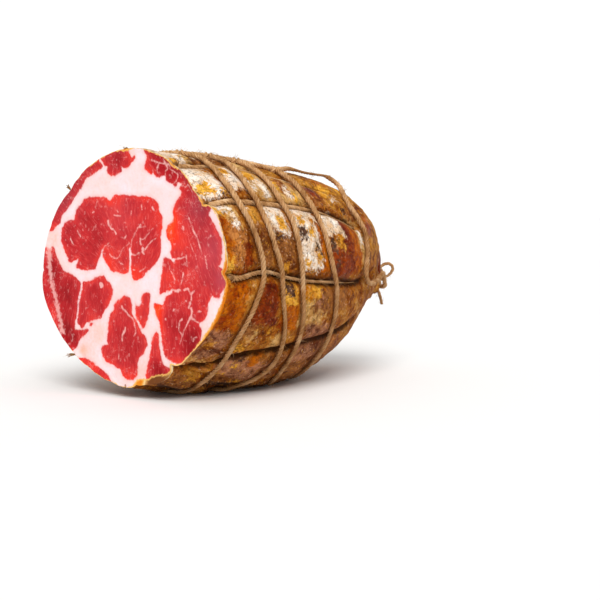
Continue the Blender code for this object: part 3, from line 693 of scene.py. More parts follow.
# Quads from ring to ring, and a fan of triangles round the tail's tip
skin_faces = []
for ring in range(RINGS - 1):
    near = ring * COLUMNS + np.arange(COLUMNS)
    following = ring * COLUMNS + (np.arange(COLUMNS) + 1) % COLUMNS
    skin_faces += np.stack((near, near + COLUMNS, following + COLUMNS, following), -1).tolist()
near = (RINGS - 1) * COLUMNS + np.arange(COLUMNS)
following = (RINGS - 1) * COLUMNS + (np.arange(COLUMNS) + 1) % COLUMNS
skin_faces += np.stack((near, np.full(COLUMNS, RINGS * COLUMNS), following), -1).tolist()
casing = new_mesh("casing", skin_list, skin_faces, amounts, casing_finish)
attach(casing, "root")
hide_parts("meat_log")

# The cut face. Lean muscles in white fat, sliced clean with a long knife and left to dry a little,
# so it is satin and nearly flat. Outlines are given as (right, up) in millimetres on a face 112 mm high,
# and are shrunk to the log's own size.
FACE_SHRINK = 104 / 112
# Gaps of the face's grid, the box it is laid out in, and how far it keeps from the rim
FACE_GRAIN = 0.62
ROW_GAP = FACE_GRAIN * 0.866
RIM_CLEARANCE = FACE_GRAIN * 0.6
FACE_SIDES = (-60, 60)
FACE_HEIGHTS = (0, 112)
# The face lies a little behind the cut's plane. Its relief: lump size in mm, seed, height
FACE_LIES_IN = 0.45
FACE_RELIEF = ((9, 33, 0.35), (3, 34, 0.12))
FACE_RELIEF_SHARE = 0.5
LEAN_LIES_IN = 0.3
LEAN_EDGE = (-0.6, 0.8)
FACE_EDGE = (0.2, 2.6)
# How far outlines wander, over lumps of what size
OUTLINE_WANDER = 0.35
OUTLINE_LUMP_SIZE = 2.6
# What counts as far outside every muscle and every thread
NO_LEAN = -30.0
NO_VEIN = 30.0
MUSCLES = (
    # The round eye of the neck, three lobes parted by thin fat
    ((-48, 78.8), (-47, 81.3), (-45, 83.4), (-41.6, 84.4), (-40, 84.2), (-39.3, 84.8), (-38.2, 87.6),
     (-36.6, 90.1), (-34, 92.2), (-32.4, 93.7), (-30, 94.7), (-26, 95.5), (-20.3, 95.7), (-16.6, 95),
     (-15, 93.7), (-13.7, 93.8), (-12.8, 95), (-10.8, 96.6), (-5.3, 96.5), (1.3, 96.2), (9.7, 95.9),
     (13.8, 94.7), (16.8, 93), (17.6, 91.3), (18.4, 88), (19.8, 86.3), (19.5, 81.3), (18.7, 78),
     (19, 73), (18.4, 68.8), (16.8, 66.3), (13, 63), (9.7, 60.5), (7.2, 58), (4.7, 57.2),
     (2.2, 56.2), (0.1, 57.6), (-0.6, 60.5), (-0.7, 64.7), (-0.4, 71.5), (-1.6, 71), (-1.9, 64.7),
     (-2.7, 59.7), (-7, 59), (-10.3, 59.7), (-12.8, 59.8), (-14.9, 60.9), (-17.8, 64.7),
     (-19.3, 67.2), (-19.5, 69.3), (-18, 71.2), (-20.2, 70), (-20.8, 67.2), (-23.3, 63.8),
     (-24.5, 60.9), (-27, 60.1), (-31.2, 59.9), (-37, 60.5), (-38.4, 60.9), (-37.8, 63),
     (-36.6, 65.1), (-39.5, 64.3), (-42, 63.4), (-43.3, 63.8), (-44.1, 65.9), (-45.3, 67.6),
     (-47, 70.5), (-48.3, 73), (-48.7, 75.5)),
    # The long muscle down the right side
    ((58, 54.7), (54.7, 50.9), (52.2, 50.1), (50.1, 51.3), (48.8, 48.8), (47.8, 47.2), (47.8, 44.7),
     (46.8, 41.8), (44.3, 39.3), (42.3, 38.3), (43.8, 35.9), (43.6, 33.8), (43.4, 31.8),
     (43.2, 28.8), (41.6, 25.8), (39, 23), (36.4, 21.2), (33, 19.4), (26.3, 19.2),
     (24.7, 20.1), (22.2, 20.5), (20.5, 22.2), (20.1, 23.8), (19.3, 27.2), (18.4, 31.3), (18, 34.7),
     (16.8, 38), (15.1, 41.3), (14, 44.3), (14.7, 46.5), (16.8, 46.1), (19.3, 45.7), (20.3, 47.2),
     (21.3, 49.3), (22.3, 50.3), (25.5, 51.6), (25.1, 52.6), (19.3, 50.9), (17.6, 51.1), (18.4, 58),
     (19.3, 61.3), (19.8, 64.7), (20.5, 67.2), (22.2, 67.8), (24.7, 67.2), (26.3, 65.9),
     (27.6, 66.3), (26.8, 67.6), (25.3, 68), (24.5, 70.1), (25.5, 72.6), (24.7, 74.5), (23, 75.9),
     (22.2, 78), (22.2, 80.5), (23.2, 82.6), (25.1, 83.8), (27, 85.1), (26.3, 87.2), (26.5, 89.3),
     (27.2, 91.3), (29.3, 94.3), (31.3, 96.2), (31.8, 97.6), (30.7, 99.5), (32.2, 100.7),
     (34.7, 100.5), (36, 102), (45, 105), (54, 95), (48.6, 88.8), (50.1, 86), (52.3, 82.8), (54.1, 80),
     (56, 77.4), (56, 74), (56.2, 71.5), (56, 69), (56.5, 67.3), (55.4, 65.6), (54.6, 64.4),
     (62, 62.5), (68, 58)),
    # The muscle along the top right edge
    ((8.7, 117), (9.7, 115.5), (9.8, 113), (8.8, 110.5), (8.4, 108.4), (10.5, 107.6), (12.2, 106.3),
     (13.4, 106.1), (14.3, 106.8), (15.5, 105.1), (18, 104.8), (20.1, 105.5), (21.8, 105.1),
     (22.2, 103), (24.3, 101.8), (26.3, 101.8), (27.6, 100.3), (28.8, 100.5), (29.6, 102.2),
     (31.2, 102), (33, 100.5), (40, 97), (47, 104), (36, 116), (14, 121)),
    # The small piece in the middle and the sliver below it
    ((1.8, 45.5), (2.6, 44.7), (4.7, 44.7), (5.9, 45.9), (5.9, 48), (6.8, 50.1), (8.4, 50.9),
     (10.1, 50.9), (11.8, 50.1), (11.8, 47.2), (11.3, 43), (10.5, 39.7), (9.3, 36.3), (8, 34.7),
     (7, 33.7), (5.9, 34.7), (4.7, 36.8), (3.4, 37.6), (2.2, 39.3), (2, 42.2)),
    ((15.7, 33.2), (17.2, 30.5), (17.5, 27), (18, 24), (18.5, 21), (19.5, 18.4), (21, 17), (23.5, 16.4),
     (25.5, 15.4), (24, 11), (18, 8), (10, 8), (8.3, 11), (8.8, 14), (10, 18), (11, 22), (12.2, 26.3),
     (13, 29.7), (14.3, 32.2)),
    # The bottom muscle
    ((-12, 44.7), (-9.9, 46.3), (-7.8, 47.2), (-5.3, 48.8), (-2.4, 48.4), (-0.8, 47.2),
     (-0.3, 44.7), (-0.2, 41.3), (0.5, 39.3), (2.6, 37.2), (4.7, 34.7), (5.9, 31.8), (8, 30.9),
     (9.3, 28.4), (9.8, 26.3), (8.8, 24.7), (7.2, 22.2), (5.1, 20.5), (3.8, 18.8), (3, 16.3),
     (2.8, 13.4), (2.6, 11.3), (0.9, 9.7), (-0.3, 8.8), (-3.7, 8.8), (-5.3, 9.7), (-7, 10.5),
     (-8.3, 13), (-10.3, 13.4), (-12.8, 14.7), (-16.2, 15.9), (-18.7, 16.3), (-19.5, 18),
     (-20.8, 19.7), (-21.2, 22.2), (-20.3, 23.8), (-17, 24.7), (-17.4, 26.8), (-16.6, 29.7),
     (-16.3, 33.8), (-15.8, 37.2), (-14.5, 39.7), (-12.8, 41.8)),
    # The two muscles at the lower left
    ((-33.3, 54.3), (-28.7, 55.1), (-25.3, 56.3), (-21.2, 57.6), (-18.7, 57.8), (-17, 55.5),
     (-14.1, 53.4), (-13, 51.3), (-13.3, 48.8), (-14.9, 45.5), (-16.6, 43), (-19.5, 39.7),
     (-21.2, 37.2), (-25.3, 35.9), (-28.7, 35.1), (-32, 33.8), (-33.3, 32.2), (-35.3, 31.8),
     (-37, 33), (-37.7, 34.7), (-37, 38.8), (-36.6, 43), (-35.3, 47.2), (-34.1, 50.5)),
    ((-53.3, 70), (-52.4, 67.2), (-50.3, 63.8), (-47.8, 60.1), (-45.3, 58.4), (-42, 58),
     (-38.7, 56.3), (-35, 53.8), (-35.3, 51.3), (-36.6, 47.2), (-37.4, 43.8), (-37.8, 38.8),
     (-39, 34.7), (-39.5, 31), (-37, 30.5), (-33.7, 31.3), (-30.3, 31.8), (-29.9, 30.7),
     (-32.8, 28.4), (-36.2, 26.3), (-37.8, 23), (-39.9, 20.9), (-44, 19), (-52, 28), (-60, 38),
     (-66, 50), (-66, 66), (-60, 71), (-57, 69.5), (-55.5, 71)),
    # Lean along the left edge, the piece at the top, and the strip at the bottom left
    ((-55, 78.5), (-53, 80), (-49, 82.2), (-48.3, 84.7), (-46.2, 87.2), (-42.8, 90.5),
     (-39.5, 93.8), (-36.2, 97.6), (-32.8, 100.9), (-29.9, 104.3), (-26.2, 105.7), (-22.8, 107.6),
     (-20.3, 108.7), (-18.8, 110.1), (-19.9, 111.8), (-25, 116), (-45, 104), (-60, 88), (-62, 79)),
    ((-19, 112.6), (-17.8, 110.5), (-15.8, 109.7), (-16.2, 108), (-14.9, 105.9), (-12, 105.5),
     (-8.7, 106.5), (-6.2, 107.6), (-6.6, 109.7), (-4.5, 108.8), (-1.2, 109.7), (0.9, 111.8),
     (2.8, 113.8), (1.8, 114.7), (0.1, 114.5), (-1.2, 116.8), (-2, 120), (-20, 118)),
    ((-34, 17.2), (-28.7, 16.2), (-24.5, 13.8), (-18.7, 11.3), (-15.3, 8.8), (-14, 5), (-30, 4),
     (-40, 14)),
    ((-29.8, 33.3), (-28, 33.1), (-26.2, 34.5), (-27.8, 34.7)),
)
# Threads of fat in the lean: half width at the start and at the end, then their points
VEINS = (
    # In the round eye
    (0.55, 0.3, ((-16, 84.2), (-15, 82), (-13.5, 80.3), (-12, 80), (-10.5, 78))),
    (0.3, 0.1, ((-15, 68), (-13.5, 67), (-11, 66.5), (-9, 67), (-7.5, 69), (-6.5, 70.5), (-4.5, 72),
                (-1, 74))),
    (0.2, 0.1, ((-19, 70.5), (-18, 72), (-16.5, 72.3), (-15, 73.5))),
    (0.25, 0.15, ((-0.5, 72), (0, 75), (1.5, 77.5), (3, 79.5), (4.5, 81.5), (6, 82.5))),
    (0.2, 0.05, ((4.5, 81.5), (9.5, 82))),
    (0.4, 0.25, ((5.5, 76), (5.3, 74.5), (5.8, 73))),
    (0.2, 0.05, ((5.5, 76), (8, 76), (12, 79.5), (14, 81))),
    (0.6, 0.4, ((7, 71.5), (7, 70), (7.8, 69))),
    (0.25, 0.05, ((7.8, 70.5), (13, 75), (16, 77))),
    (0.25, 0.2, ((-0.5, 69), (2, 68.5), (4.5, 69.5), (7, 70))),
    (0.3, 0.2, ((-8, 64), (-6, 63.5))),
    (0.3, 0.15, ((-37, 79), (-35, 76))),
    (0.35, 0.2, ((-42, 75), (-40, 72.5))),
    (0.25, 0.2, ((-26, 88), (-25, 88.5))),
    (0.3, 0.1, ((-12, 87), (-7, 86.2))),
    (0.2, 0.1, ((-10.5, 89.5), (-8.5, 88))),
    (0.25, 0.1, ((0, 89), (-0.5, 86.5))),
    (0.2, 0.2, ((6.5, 92), (7, 89.5))),
    (0.4, 0.2, ((13.5, 91), (14.8, 89.5))),
    (0.3, 0.2, ((-7, 76.5), (-5, 76), (-3.5, 77))),
    (0.25, 0.2, ((0.5, 61.5), (2, 61))),
    (0.2, 0.1, ((5, 60.5), (9, 63))),
    # In the long muscle on the right
    (0.35, 0.25, ((38.5, 81.5), (39.5, 79.5), (41, 78), (42, 75.5), (42.5, 73.5), (43.5, 71.5))),
    (0.1, 0.15, ((36, 87), (38.5, 82))),
    (0.45, 0.3, ((32.5, 82), (32.8, 80.5))),
    (0.3, 0.15, ((46, 68.5), (46.5, 66), (47.5, 63.5))),
    (0.5, 0.5, ((49.5, 78), (49.7, 78.2))),
    (0.1, 0.1, ((37, 74.5), (38.5, 72), (40.5, 69.5), (41, 67.5))),
    (0.35, 0.25, ((26, 67.2), (29, 67.5), (31, 68), (33.5, 68.2))),
    (0.15, 0.1, ((34.5, 69), (35, 64))),
    (0.25, 0.15, ((25, 61.5), (26.5, 59.5), (27.3, 57.5), (27, 56))),
    (0.4, 0.2, ((32.5, 61), (32, 59), (31.3, 57), (30.8, 55.5))),
    (0.5, 0.35, ((22, 51.8), (26, 52.8), (28, 52.3), (29.5, 53), (31, 52.5))),
    (0.8, 0.6, ((29, 52.3), (29.7, 52.5))),
    (0.35, 0.3, ((33, 53), (35, 53.8), (36, 53), (37, 51.8), (39.5, 53.3))),
    (0.3, 0.3, ((37.5, 51.5), (37.5, 48.5))),
    (0.6, 0.4, ((36.8, 47.5), (36.5, 46), (36, 45))),
    (0.45, 0.15, ((37.5, 45), (38, 43.5), (37.8, 42), (37.2, 41), (35.8, 39), (34.5, 37), (33, 34.5),
                  (31.8, 32), (31, 30), (30.2, 28))),
    (0.5, 0.25, ((37.5, 41), (38.3, 40.2), (42, 39))),
    (0.3, 0.2, ((31.5, 39.8), (30.3, 38.8), (29.8, 37), (29.8, 35.5), (30.2, 34), (31.7, 32.3))),
    (0.35, 0.35, ((34, 48.3), (34.2, 48.2))),
    (0.4, 0.4, ((26.7, 44), (26.9, 44.2))),
    (0.35, 0.35, ((21.4, 39), (21.5, 39.3))),
    (0.3, 0.15, ((41.5, 43.5), (43.5, 44))),
    (0.2, 0.1, ((38.5, 30), (39, 31.5), (40.5, 32.3))),
    # In the piece along the top right edge
    (0.25, 0.2, ((13, 112.5), (18, 111.3), (24.3, 110.6), (28, 109.4))),
    (0.3, 0.2, ((18, 111.3), (16.8, 108.1), (17, 106.5))),
    (0.3, 0.3, ((21, 113), (22, 111), (23.5, 109), (22, 107.5), (21.5, 105.5))),
    (0.2, 0.15, ((24.3, 110.6), (25.5, 108.1), (29.3, 106.3), (28.6, 103.1), (25.5, 101.3))),
    (0.25, 0.15, ((33, 101.2), (34.5, 100.4), (36.5, 101), (38.5, 98))),
    # In the muscles at the bottom and the lower left
    (0.4, 0.25, ((-7, 43.5), (-5.5, 42), (-4, 41), (-3, 39.5), (-1, 38.8), (0, 38.5), (1, 36.5),
                 (1.5, 34.5), (1.8, 32), (0.5, 30))),
    (0.5, 0.3, ((-5, 33.3), (-6, 31.5), (-7, 29.5), (-7, 27.5))),
    (0.35, 0.2, ((-9.5, 20.5), (-9.8, 18.5))),
    (1.3, 1.2, ((-21, 53.4), (-20.9, 52.7))),
)
# A soft seam of fat down the left edge, and its half width
SEAM = ((-57.3, 70), (-57.3, 64), (-57, 58), (-56, 53), (-54.2, 48), (-52.6, 43), (-51, 38),
        (-49.3, 33), (-48, 29))
SEAM_HALF = 1.6
# Tones of the lean: right, up, reach, toward orange (+) or wine red (-), toward mauve (+) or
# crimson (-)
TONES = (
    (25.5, 79, 5, 1.3, 0), (28, 87, 5, 0.6, 0), (17, 43, 4, 1.3, 0), (19, 36, 4, 0.5, 0),
    (14, 85, 7, 0.15, 0), (22, 58, 4, 0.5, 0), (-16, 64, 5, 0.6, 0), (4, 60, 5, 0.5, 0),
    (38, 28, 6, -1.3, -0.9), (17, 15, 6, -1.0, -0.5), (-42, 27, 8, -0.8, 0), (18, 112, 6, -0.3, -1.2),
    (30, 107, 9, -0.5, -1.2), (13, 106, 4, 0.5, 0), (30, 74, 5, 0.3, 0),
    (-45, 93, 9, -0.5, 0.5), (-32, 103, 8, -0.6, 0.2), (-52, 60, 8, -0.8, -0.4), (-25, 76, 10, -0.3, 0),
    (42, 91, 9, -0.8, 0.7), (52, 73, 8, -0.1, 0.7), (57, 58, 6, -0.2, 1.0), (-10, 111, 7, -0.7, 0.1),
    (-8, 87, 11, 0.35, 0.35), (25, 40, 8, -0.4, -0.2), (-5, 24, 9, -0.5, 0), (-45, 46, 7, -0.5, -0.2),
    (45, 65, 9, 0, 0.35), (9, 13, 4, 0.4, 0), (-27, 48, 8, -0.3, 0),
)
# Fat that has warmed toward peach: right, up, reach, strength
PEACH = ((-27, 27, 7, 0.35), (5, 14, 5, 0.5), (46, 35, 5, 0.4), (-53, 75, 5, 0.5), (-34, 21, 3, 0.9),
         (-22, 31, 5, 0.3))
# Where the fibres of each muscle in MUSCLES run to, right and up
FIBRE_ENDS = ((2, 50), (12, 150), (60, 60), (5, 90), (15, 60), (-2, 70), (-24, 90), (-30, 90),
              (40, 0), (-8, 60), (0, 60), (0, 60))
# Casing seen edge on: its plain width, then where it differs: angle, reach in degrees, amber (+) or
# brown (-), width added in millimetres
EDGE_WIDTH = 0.4
EDGE_TONES = ((-16, 17, 1.0, 1.4), (3, 4, 1.0, 1.4), (35.6, 3, 0.5, 0.9), (61, 3, 0.3, 0.8),
              (60, 34, 0.3, -0.1), (-73, 9, -0.9, 3.2), (-85, 4, 1.0, 2.2), (93, 4, 0.6, 0.8),
              (180, 70, -0.6, -0.7))


def rounded(points, steps, closed=False):
    """Pass a smooth curve through points, with a few steps from each to the next."""
    points = np.array(points, float)
    ends = np.vstack((2 * points[:1] - points[1:2], points, 2 * points[-1:] - points[-2:-1]))
    if closed:
        ends = np.vstack((points[-1:], points, points[:2]))
    a, b, c, d = (part[:, None] for part in (ends[:-3], ends[1:-2], ends[2:-1], ends[3:]))
    t = (np.arange(steps) / steps)[None, :, None]
    run = 0.5 * (2 * b + (c - a) * t + (2 * a - 5 * b + 4 * c - d) * t ** 2
                 + (3 * b - a - 3 * c + d) * t ** 3)
    run = run.reshape(-1, points.shape[1])
    return run if closed else np.vstack((run, points[-1:]))


def distance_to_line(at, line, first=0.0, last=0.0):
    """Distance of points in the plane from a run of straight pieces, less its changing half width."""
    nearest = np.full(len(at), np.inf)
    halves = np.linspace(first, last, len(line))
    for start, end, here, there in zip(line, line[1:], halves, halves[1:]):
        along = end - start
        share = np.clip((at - start) @ along / max(along @ along, 1e-9), 0, 1)
        gap = np.hypot(*(at - start - share[:, None] * along).T)
        nearest = np.minimum(nearest, gap - here - share * (there - here))
    return nearest


def inside(at, outline):
    """Whether points in the plane lie inside a closed outline."""
    within = np.zeros(len(at), bool)
    for (v0, z0), (v1, z1) in zip(outline, np.roll(outline, -1, 0)):
        if z0 != z1:
            spans = (z0 > at[:, 1]) != (z1 > at[:, 1])
            within ^= spans & (at[:, 0] < v0 + (at[:, 1] - z0) * (v1 - v0) / (z1 - z0))
    return within


def near_spot(at, right, up, reach):
    """1 at one spot of the plane, falling off all round over reach."""
    return np.exp(-((at[:, 0] - right) ** 2 + (at[:, 1] - up) ** 2) / reach ** 2)


# Even triangles inside the rim, joined to the casing's first ring
rim_points = skin_points[0][:, 1:]
spread = np.stack(np.meshgrid(np.arange(*FACE_SIDES, FACE_GRAIN), np.arange(*FACE_HEIGHTS, ROW_GAP)), -1)
spread[1::2, :, 0] += FACE_GRAIN / 2
spread = spread.reshape(-1, 2)
spread = spread[inside(spread, rim_points)]
closed_rim = np.vstack((rim_points, rim_points[:1]))
from_rim = distance_to_line(spread, closed_rim)
spread = spread[from_rim > RIM_CLEARANCE]
flat = np.vstack((rim_points, spread))
points, _, face_list, _, _, _ = delaunay_2d_cdt(
    [Vector(point) for point in flat.tolist()], [], [list(range(COLUMNS))], 1, 1e-6)
flat = np.array([tuple(point) for point in points])
from_rim = distance_to_line(flat, closed_rim)
plan = np.stack((-flat[:, 0], flat[:, 1]), -1) / FACE_SHRINK
wander = np.stack((plan[:, 0], plan[:, 1], 0 * plan[:, 0]), -1)
wander = np.stack((lumps(wander, OUTLINE_LUMP_SIZE, 31), lumps(wander, OUTLINE_LUMP_SIZE, 32)), -1)
plan = plan + OUTLINE_WANDER * wander
# How deep each point lies in its muscle, and which way the fibres run there
lean = np.full(len(plan), NO_LEAN)
fibre_turn = np.zeros(len(plan))
fibre_reach = np.zeros(len(plan))
for outline, end in zip(MUSCLES, FIBRE_ENDS):
    line = rounded(outline, 3, closed=True)
    away = distance_to_line(plan, np.vstack((line, line[:1])))
    away = np.where(inside(plan, line), away, -away)
    middle = np.hypot(*(np.mean(outline, axis=0) - end))
    turn = np.arctan2(plan[:, 0] - end[0], plan[:, 1] - end[1])
    fibre_turn = np.where(away > lean, turn * middle, fibre_turn)
    fibre_reach = np.where(away > lean, np.hypot(*(plan - end).T), fibre_reach)
    lean = np.maximum(lean, away)
vein = np.full(len(plan), NO_VEIN)
for first, last, points in VEINS:
    vein = np.minimum(vein, distance_to_line(plan, rounded(points, 3), first, last))
from_seam = distance_to_line(plan, rounded(SEAM, 3), SEAM_HALF, SEAM_HALF)
peach = sum(strength * near_spot(plan, right, up, reach) for right, up, reach, strength in PEACH)
orange = np.zeros(len(plan))
mauve = np.zeros(len(plan))
for right, up, reach, toward_orange, toward_mauve in TONES:
    near = near_spot(plan, right, up, reach)
    orange += near * toward_orange
    mauve += near * toward_mauve
face_angle = np.degrees(np.arctan2(flat[:, 1] - MIDDLE_HEIGHT[0][1], -flat[:, 0]))
edge_tone = sum(tone * near_angle(face_angle, middle, reach) for middle, reach, tone, _ in EDGE_TONES)
edge_width = EDGE_WIDTH + sum(width * near_angle(face_angle, middle, reach)
                              for middle, reach, _, width in EDGE_TONES)

# Sliced pork: moist satin lean over fat. Fibres show as a grain 0.8 mm across and 5 mm long,
# marbling as threads about 5.5 mm apart with flecks of 2 mm between. The fat is firm and faintly
# pink beside the lean.
face_finish, tree, shader, place = new_material(
    "sliced_cured_pork", Specular_IOR_Level=0.12, Subsurface_Weight=0.05, Subsurface_Scale=0.002)
shader.inputs["Subsurface Radius"].default_value = (1.0, 0.35, 0.2)
cloud = add_node(tree, "ShaderNodeTexNoise", {
    "Vector": place, "Scale": 1 / 9, "Detail": 2.0}).outputs["Fac"]
ripple = add_node(tree, "ShaderNodeTexNoise", {
    "Vector": place, "Scale": 1 / 1.5, "Detail": 3.0}).outputs["Fac"]
turned = add_node(tree, "ShaderNodeAttribute", attribute_name="fibre_turn").outputs["Fac"]
turned = add_node(tree, "ShaderNodeMath", {0: turned, 1: 1 / 0.8}, operation="MULTIPLY").outputs[0]
reached = add_node(tree, "ShaderNodeAttribute", attribute_name="fibre_reach").outputs["Fac"]
reached = add_node(tree, "ShaderNodeMath", {0: reached, 1: 1 / 5.0}, operation="MULTIPLY").outputs[0]
fibre = add_node(tree, "ShaderNodeCombineXYZ", {"X": turned, "Y": reached}).outputs[0]
fibre = add_node(tree, "ShaderNodeTexNoise", {
    "Vector": fibre, "Scale": 1.0, "Detail": 3.0, "Roughness": 0.6}).outputs["Fac"]
# Fat in the lean: fine threads, thicker in places, then flecks, pale fibres and the drawn threads
thread = add_node(tree, "ShaderNodeTexNoise", {
    "Vector": place, "Scale": 1 / 5.5, "Detail": 3.5, "Roughness": 0.62}).outputs["Fac"]
thread = add_node(tree, "ShaderNodeMath", {0: thread, 1: 0.5}, operation="SUBTRACT").outputs[0]
thread = add_node(tree, "ShaderNodeMath", {0: thread}, operation="ABSOLUTE").outputs[0]
patchy = add_node(tree, "ShaderNodeMapRange", {
    "Value": cloud, "From Min": 0.46, "From Max": 0.64, "To Min": -0.006, "To Max": 0.010}).outputs[0]
thread = add_node(tree, "ShaderNodeMath", {0: patchy, 1: thread}, operation="SUBTRACT").outputs[0]
thread = add_node(tree, "ShaderNodeMapRange", {
    "Value": thread, "From Min": -0.008, "From Max": 0.014, "To Max": 0.34},
    interpolation_type="SMOOTHSTEP").outputs[0]
fleck = add_node(tree, "ShaderNodeTexNoise", {
    "Vector": place, "Scale": 1 / 1.9, "Detail": 1.5}).outputs["Fac"]
fleck = add_node(tree, "ShaderNodeMapRange", {
    "Value": fleck, "From Min": 0.60, "From Max": 0.78, "To Max": 0.32},
    interpolation_type="SMOOTHSTEP").outputs[0]
strand = add_node(tree, "ShaderNodeMapRange", {
    "Value": fibre, "From Min": 0.56, "From Max": 0.80, "To Max": 0.22}).outputs[0]
inlay = add_node(tree, "ShaderNodeMath", {0: thread, 1: fleck}, operation="MAXIMUM").outputs[0]
inlay = add_node(tree, "ShaderNodeMath", {0: inlay, 1: strand}, operation="MAXIMUM").outputs[0]
wavy = add_node(tree, "ShaderNodeMath", {0: ripple, 1: 0.5}, operation="SUBTRACT").outputs[0]
drawn = add_node(tree, "ShaderNodeAttribute", attribute_name="vein").outputs["Fac"]
drawn = add_node(tree, "ShaderNodeMath", {0: wavy, 1: 1.2, 2: drawn},
                 operation="MULTIPLY_ADD").outputs[0]
drawn = add_node(tree, "ShaderNodeMapRange", {
    "Value": drawn, "From Min": -0.35, "From Max": 0.4, "To Min": 0.85, "To Max": 0.0},
    interpolation_type="SMOOTHSTEP").outputs[0]
inlay = add_node(tree, "ShaderNodeMath", {0: inlay, 1: drawn}, operation="MAXIMUM").outputs[0]
seam = add_node(tree, "ShaderNodeAttribute", attribute_name="from_seam").outputs["Fac"]
seam = add_node(tree, "ShaderNodeMath", {0: wavy, 1: 5.0, 2: seam},
                operation="MULTIPLY_ADD").outputs[0]
seam = add_node(tree, "ShaderNodeMapRange", {
    "Value": seam, "From Min": -1.2, "From Max": 0.6, "To Min": 0.7, "To Max": 0.0},
    interpolation_type="SMOOTHSTEP").outputs[0]
inlay = add_node(tree, "ShaderNodeMath", {0: inlay, 1: seam}, operation="MAXIMUM").outputs[0]
inner = add_node(tree, "ShaderNodeAttribute", attribute_name="lean").outputs["Fac"]
edge = add_node(tree, "ShaderNodeMath", {0: wavy, 1: 1.5, 2: inner},
                operation="MULTIPLY_ADD").outputs[0]
meat = add_node(tree, "ShaderNodeMapRange", {"Value": edge, "From Min": -0.45, "From Max": 0.45},
                interpolation_type="SMOOTHSTEP").outputs[0]
# The lean's own red, from wine to orange, brighter within 3.5 mm of the fat
orange_tone = add_node(tree, "ShaderNodeAttribute", attribute_name="orange").outputs["Fac"]
border = add_node(tree, "ShaderNodeMapRange", {
    "Value": inner, "From Min": 0.0, "From Max": 3.5, "To Min": 0.45, "To Max": 0.0}).outputs[0]
tone = add_node(tree, "ShaderNodeMath", {0: orange_tone, 1: border}, operation="ADD").outputs[0]
tone = add_node(tree, "ShaderNodeMath", {0: cloud, 1: 1.6, 2: tone},
                operation="MULTIPLY_ADD").outputs[0]
tone = add_node(tree, "ShaderNodeMath", {0: fibre, 1: 1.2, 2: tone},
                operation="MULTIPLY_ADD").outputs[0]
tone = add_node(tree, "ShaderNodeMapRange", {"Value": tone, "From Min": -0.05, "From Max": 2.95}).outputs[0]
red = add_node(tree, "ShaderNodeValToRGB", {"Fac": tone}, stops=(
    (0.0, "#70000A"), (1.0, "#FF5420"), (0.25, "#A01018"), (0.45, "#C4282C"), (0.62, "#DE3630"),
    (0.82, "#F63216"))).outputs[0]
mauve_tone = add_node(tree, "ShaderNodeAttribute", attribute_name="mauve").outputs["Fac"]
for factor, tint in ((0.55, "#BE5260"), (-0.5, "#B00818")):
    share = add_node(tree, "ShaderNodeMath", {0: mauve_tone, 1: factor}, operation="MULTIPLY",
                     use_clamp=True).outputs[0]
    red = add_node(tree, "ShaderNodeMix", {0: share, 6: red, 7: colour(tint)},
                   data_type="RGBA").outputs[2]
pale = add_node(tree, "ShaderNodeMapRange", {"Value": cloud, "From Min": 0.35, "From Max": 0.65}).outputs[0]
fat = add_node(tree, "ShaderNodeMix", {0: pale, 6: colour("#FAE2E6"), 7: colour("#F9D7D4")},
               data_type="RGBA").outputs[2]
warmed = add_node(tree, "ShaderNodeAttribute", attribute_name="peach").outputs["Fac"]
warmed = add_node(tree, "ShaderNodeMath", {0: wavy, 1: 0.8, 2: warmed}, operation="MULTIPLY_ADD",
                  use_clamp=True).outputs[0]
fat = add_node(tree, "ShaderNodeMix", {0: warmed, 6: fat, 7: colour("#EEB8A0")},
               data_type="RGBA").outputs[2]
blush = add_node(tree, "ShaderNodeMapRange", {
    "Value": inner, "From Min": -1.8, "From Max": 0.2, "To Max": 0.4}).outputs[0]
fat = add_node(tree, "ShaderNodeMix", {0: blush, 6: fat, 7: colour("#F2A8A0")},
               data_type="RGBA").outputs[2]
streak = add_node(tree, "ShaderNodeMix", {0: inlay, 6: red, 7: colour("#F4B8B2")},
                  data_type="RGBA").outputs[2]
base = add_node(tree, "ShaderNodeMix", {0: meat, 6: fat, 7: streak}, data_type="RGBA").outputs[2]
# The casing seen edge on round the face, palest on its inner side
tone = add_node(tree, "ShaderNodeAttribute", attribute_name="edge_tone").outputs["Fac"]
tone = add_node(tree, "ShaderNodeMath", {0: ripple, 1: 0.8, 2: tone},
                operation="MULTIPLY_ADD").outputs[0]
depth = add_node(tree, "ShaderNodeAttribute", attribute_name="in_edge").outputs["Fac"]
depth = add_node(tree, "ShaderNodeMath", {0: wavy, 1: 2.0, 2: depth},
                 operation="MULTIPLY_ADD").outputs[0]
tone = add_node(tree, "ShaderNodeMapRange", {"Value": tone, "From Min": -0.4, "From Max": 1.3}).outputs[0]
skin_edge = add_node(tree, "ShaderNodeValToRGB", {"Fac": tone}, stops=(
    (0.05, "#70401C"), (1.0, "#DC7404"), (0.3, "#B07C46"), (0.5, "#F0CF8E"),
    (0.75, "#E8962A"))).outputs[0]
paler = add_node(tree, "ShaderNodeMapRange", {
    "Value": depth, "From Min": 0.3, "From Max": 1.1, "To Min": 0.8, "To Max": 0.0}).outputs[0]
skin_edge = add_node(tree, "ShaderNodeMix", {0: paler, 6: skin_edge, 7: colour("#F8C26A")},
                     data_type="RGBA").outputs[2]
depth = add_node(tree, "ShaderNodeMapRange", {"Value": depth, "From Min": -0.3, "From Max": 0.3},
                 interpolation_type="SMOOTHSTEP").outputs[0]
base = add_node(tree, "ShaderNodeMix", {0: depth, 6: base, 7: skin_edge},
                data_type="RGBA").outputs[2]
tree.links.new(base, shader.inputs["Base Color"])
rough = add_node(tree, "ShaderNodeMix", {0: meat, 2: 0.52, 3: 0.40}, data_type="FLOAT").outputs[0]
tree.links.new(rough, shader.inputs["Roughness"])
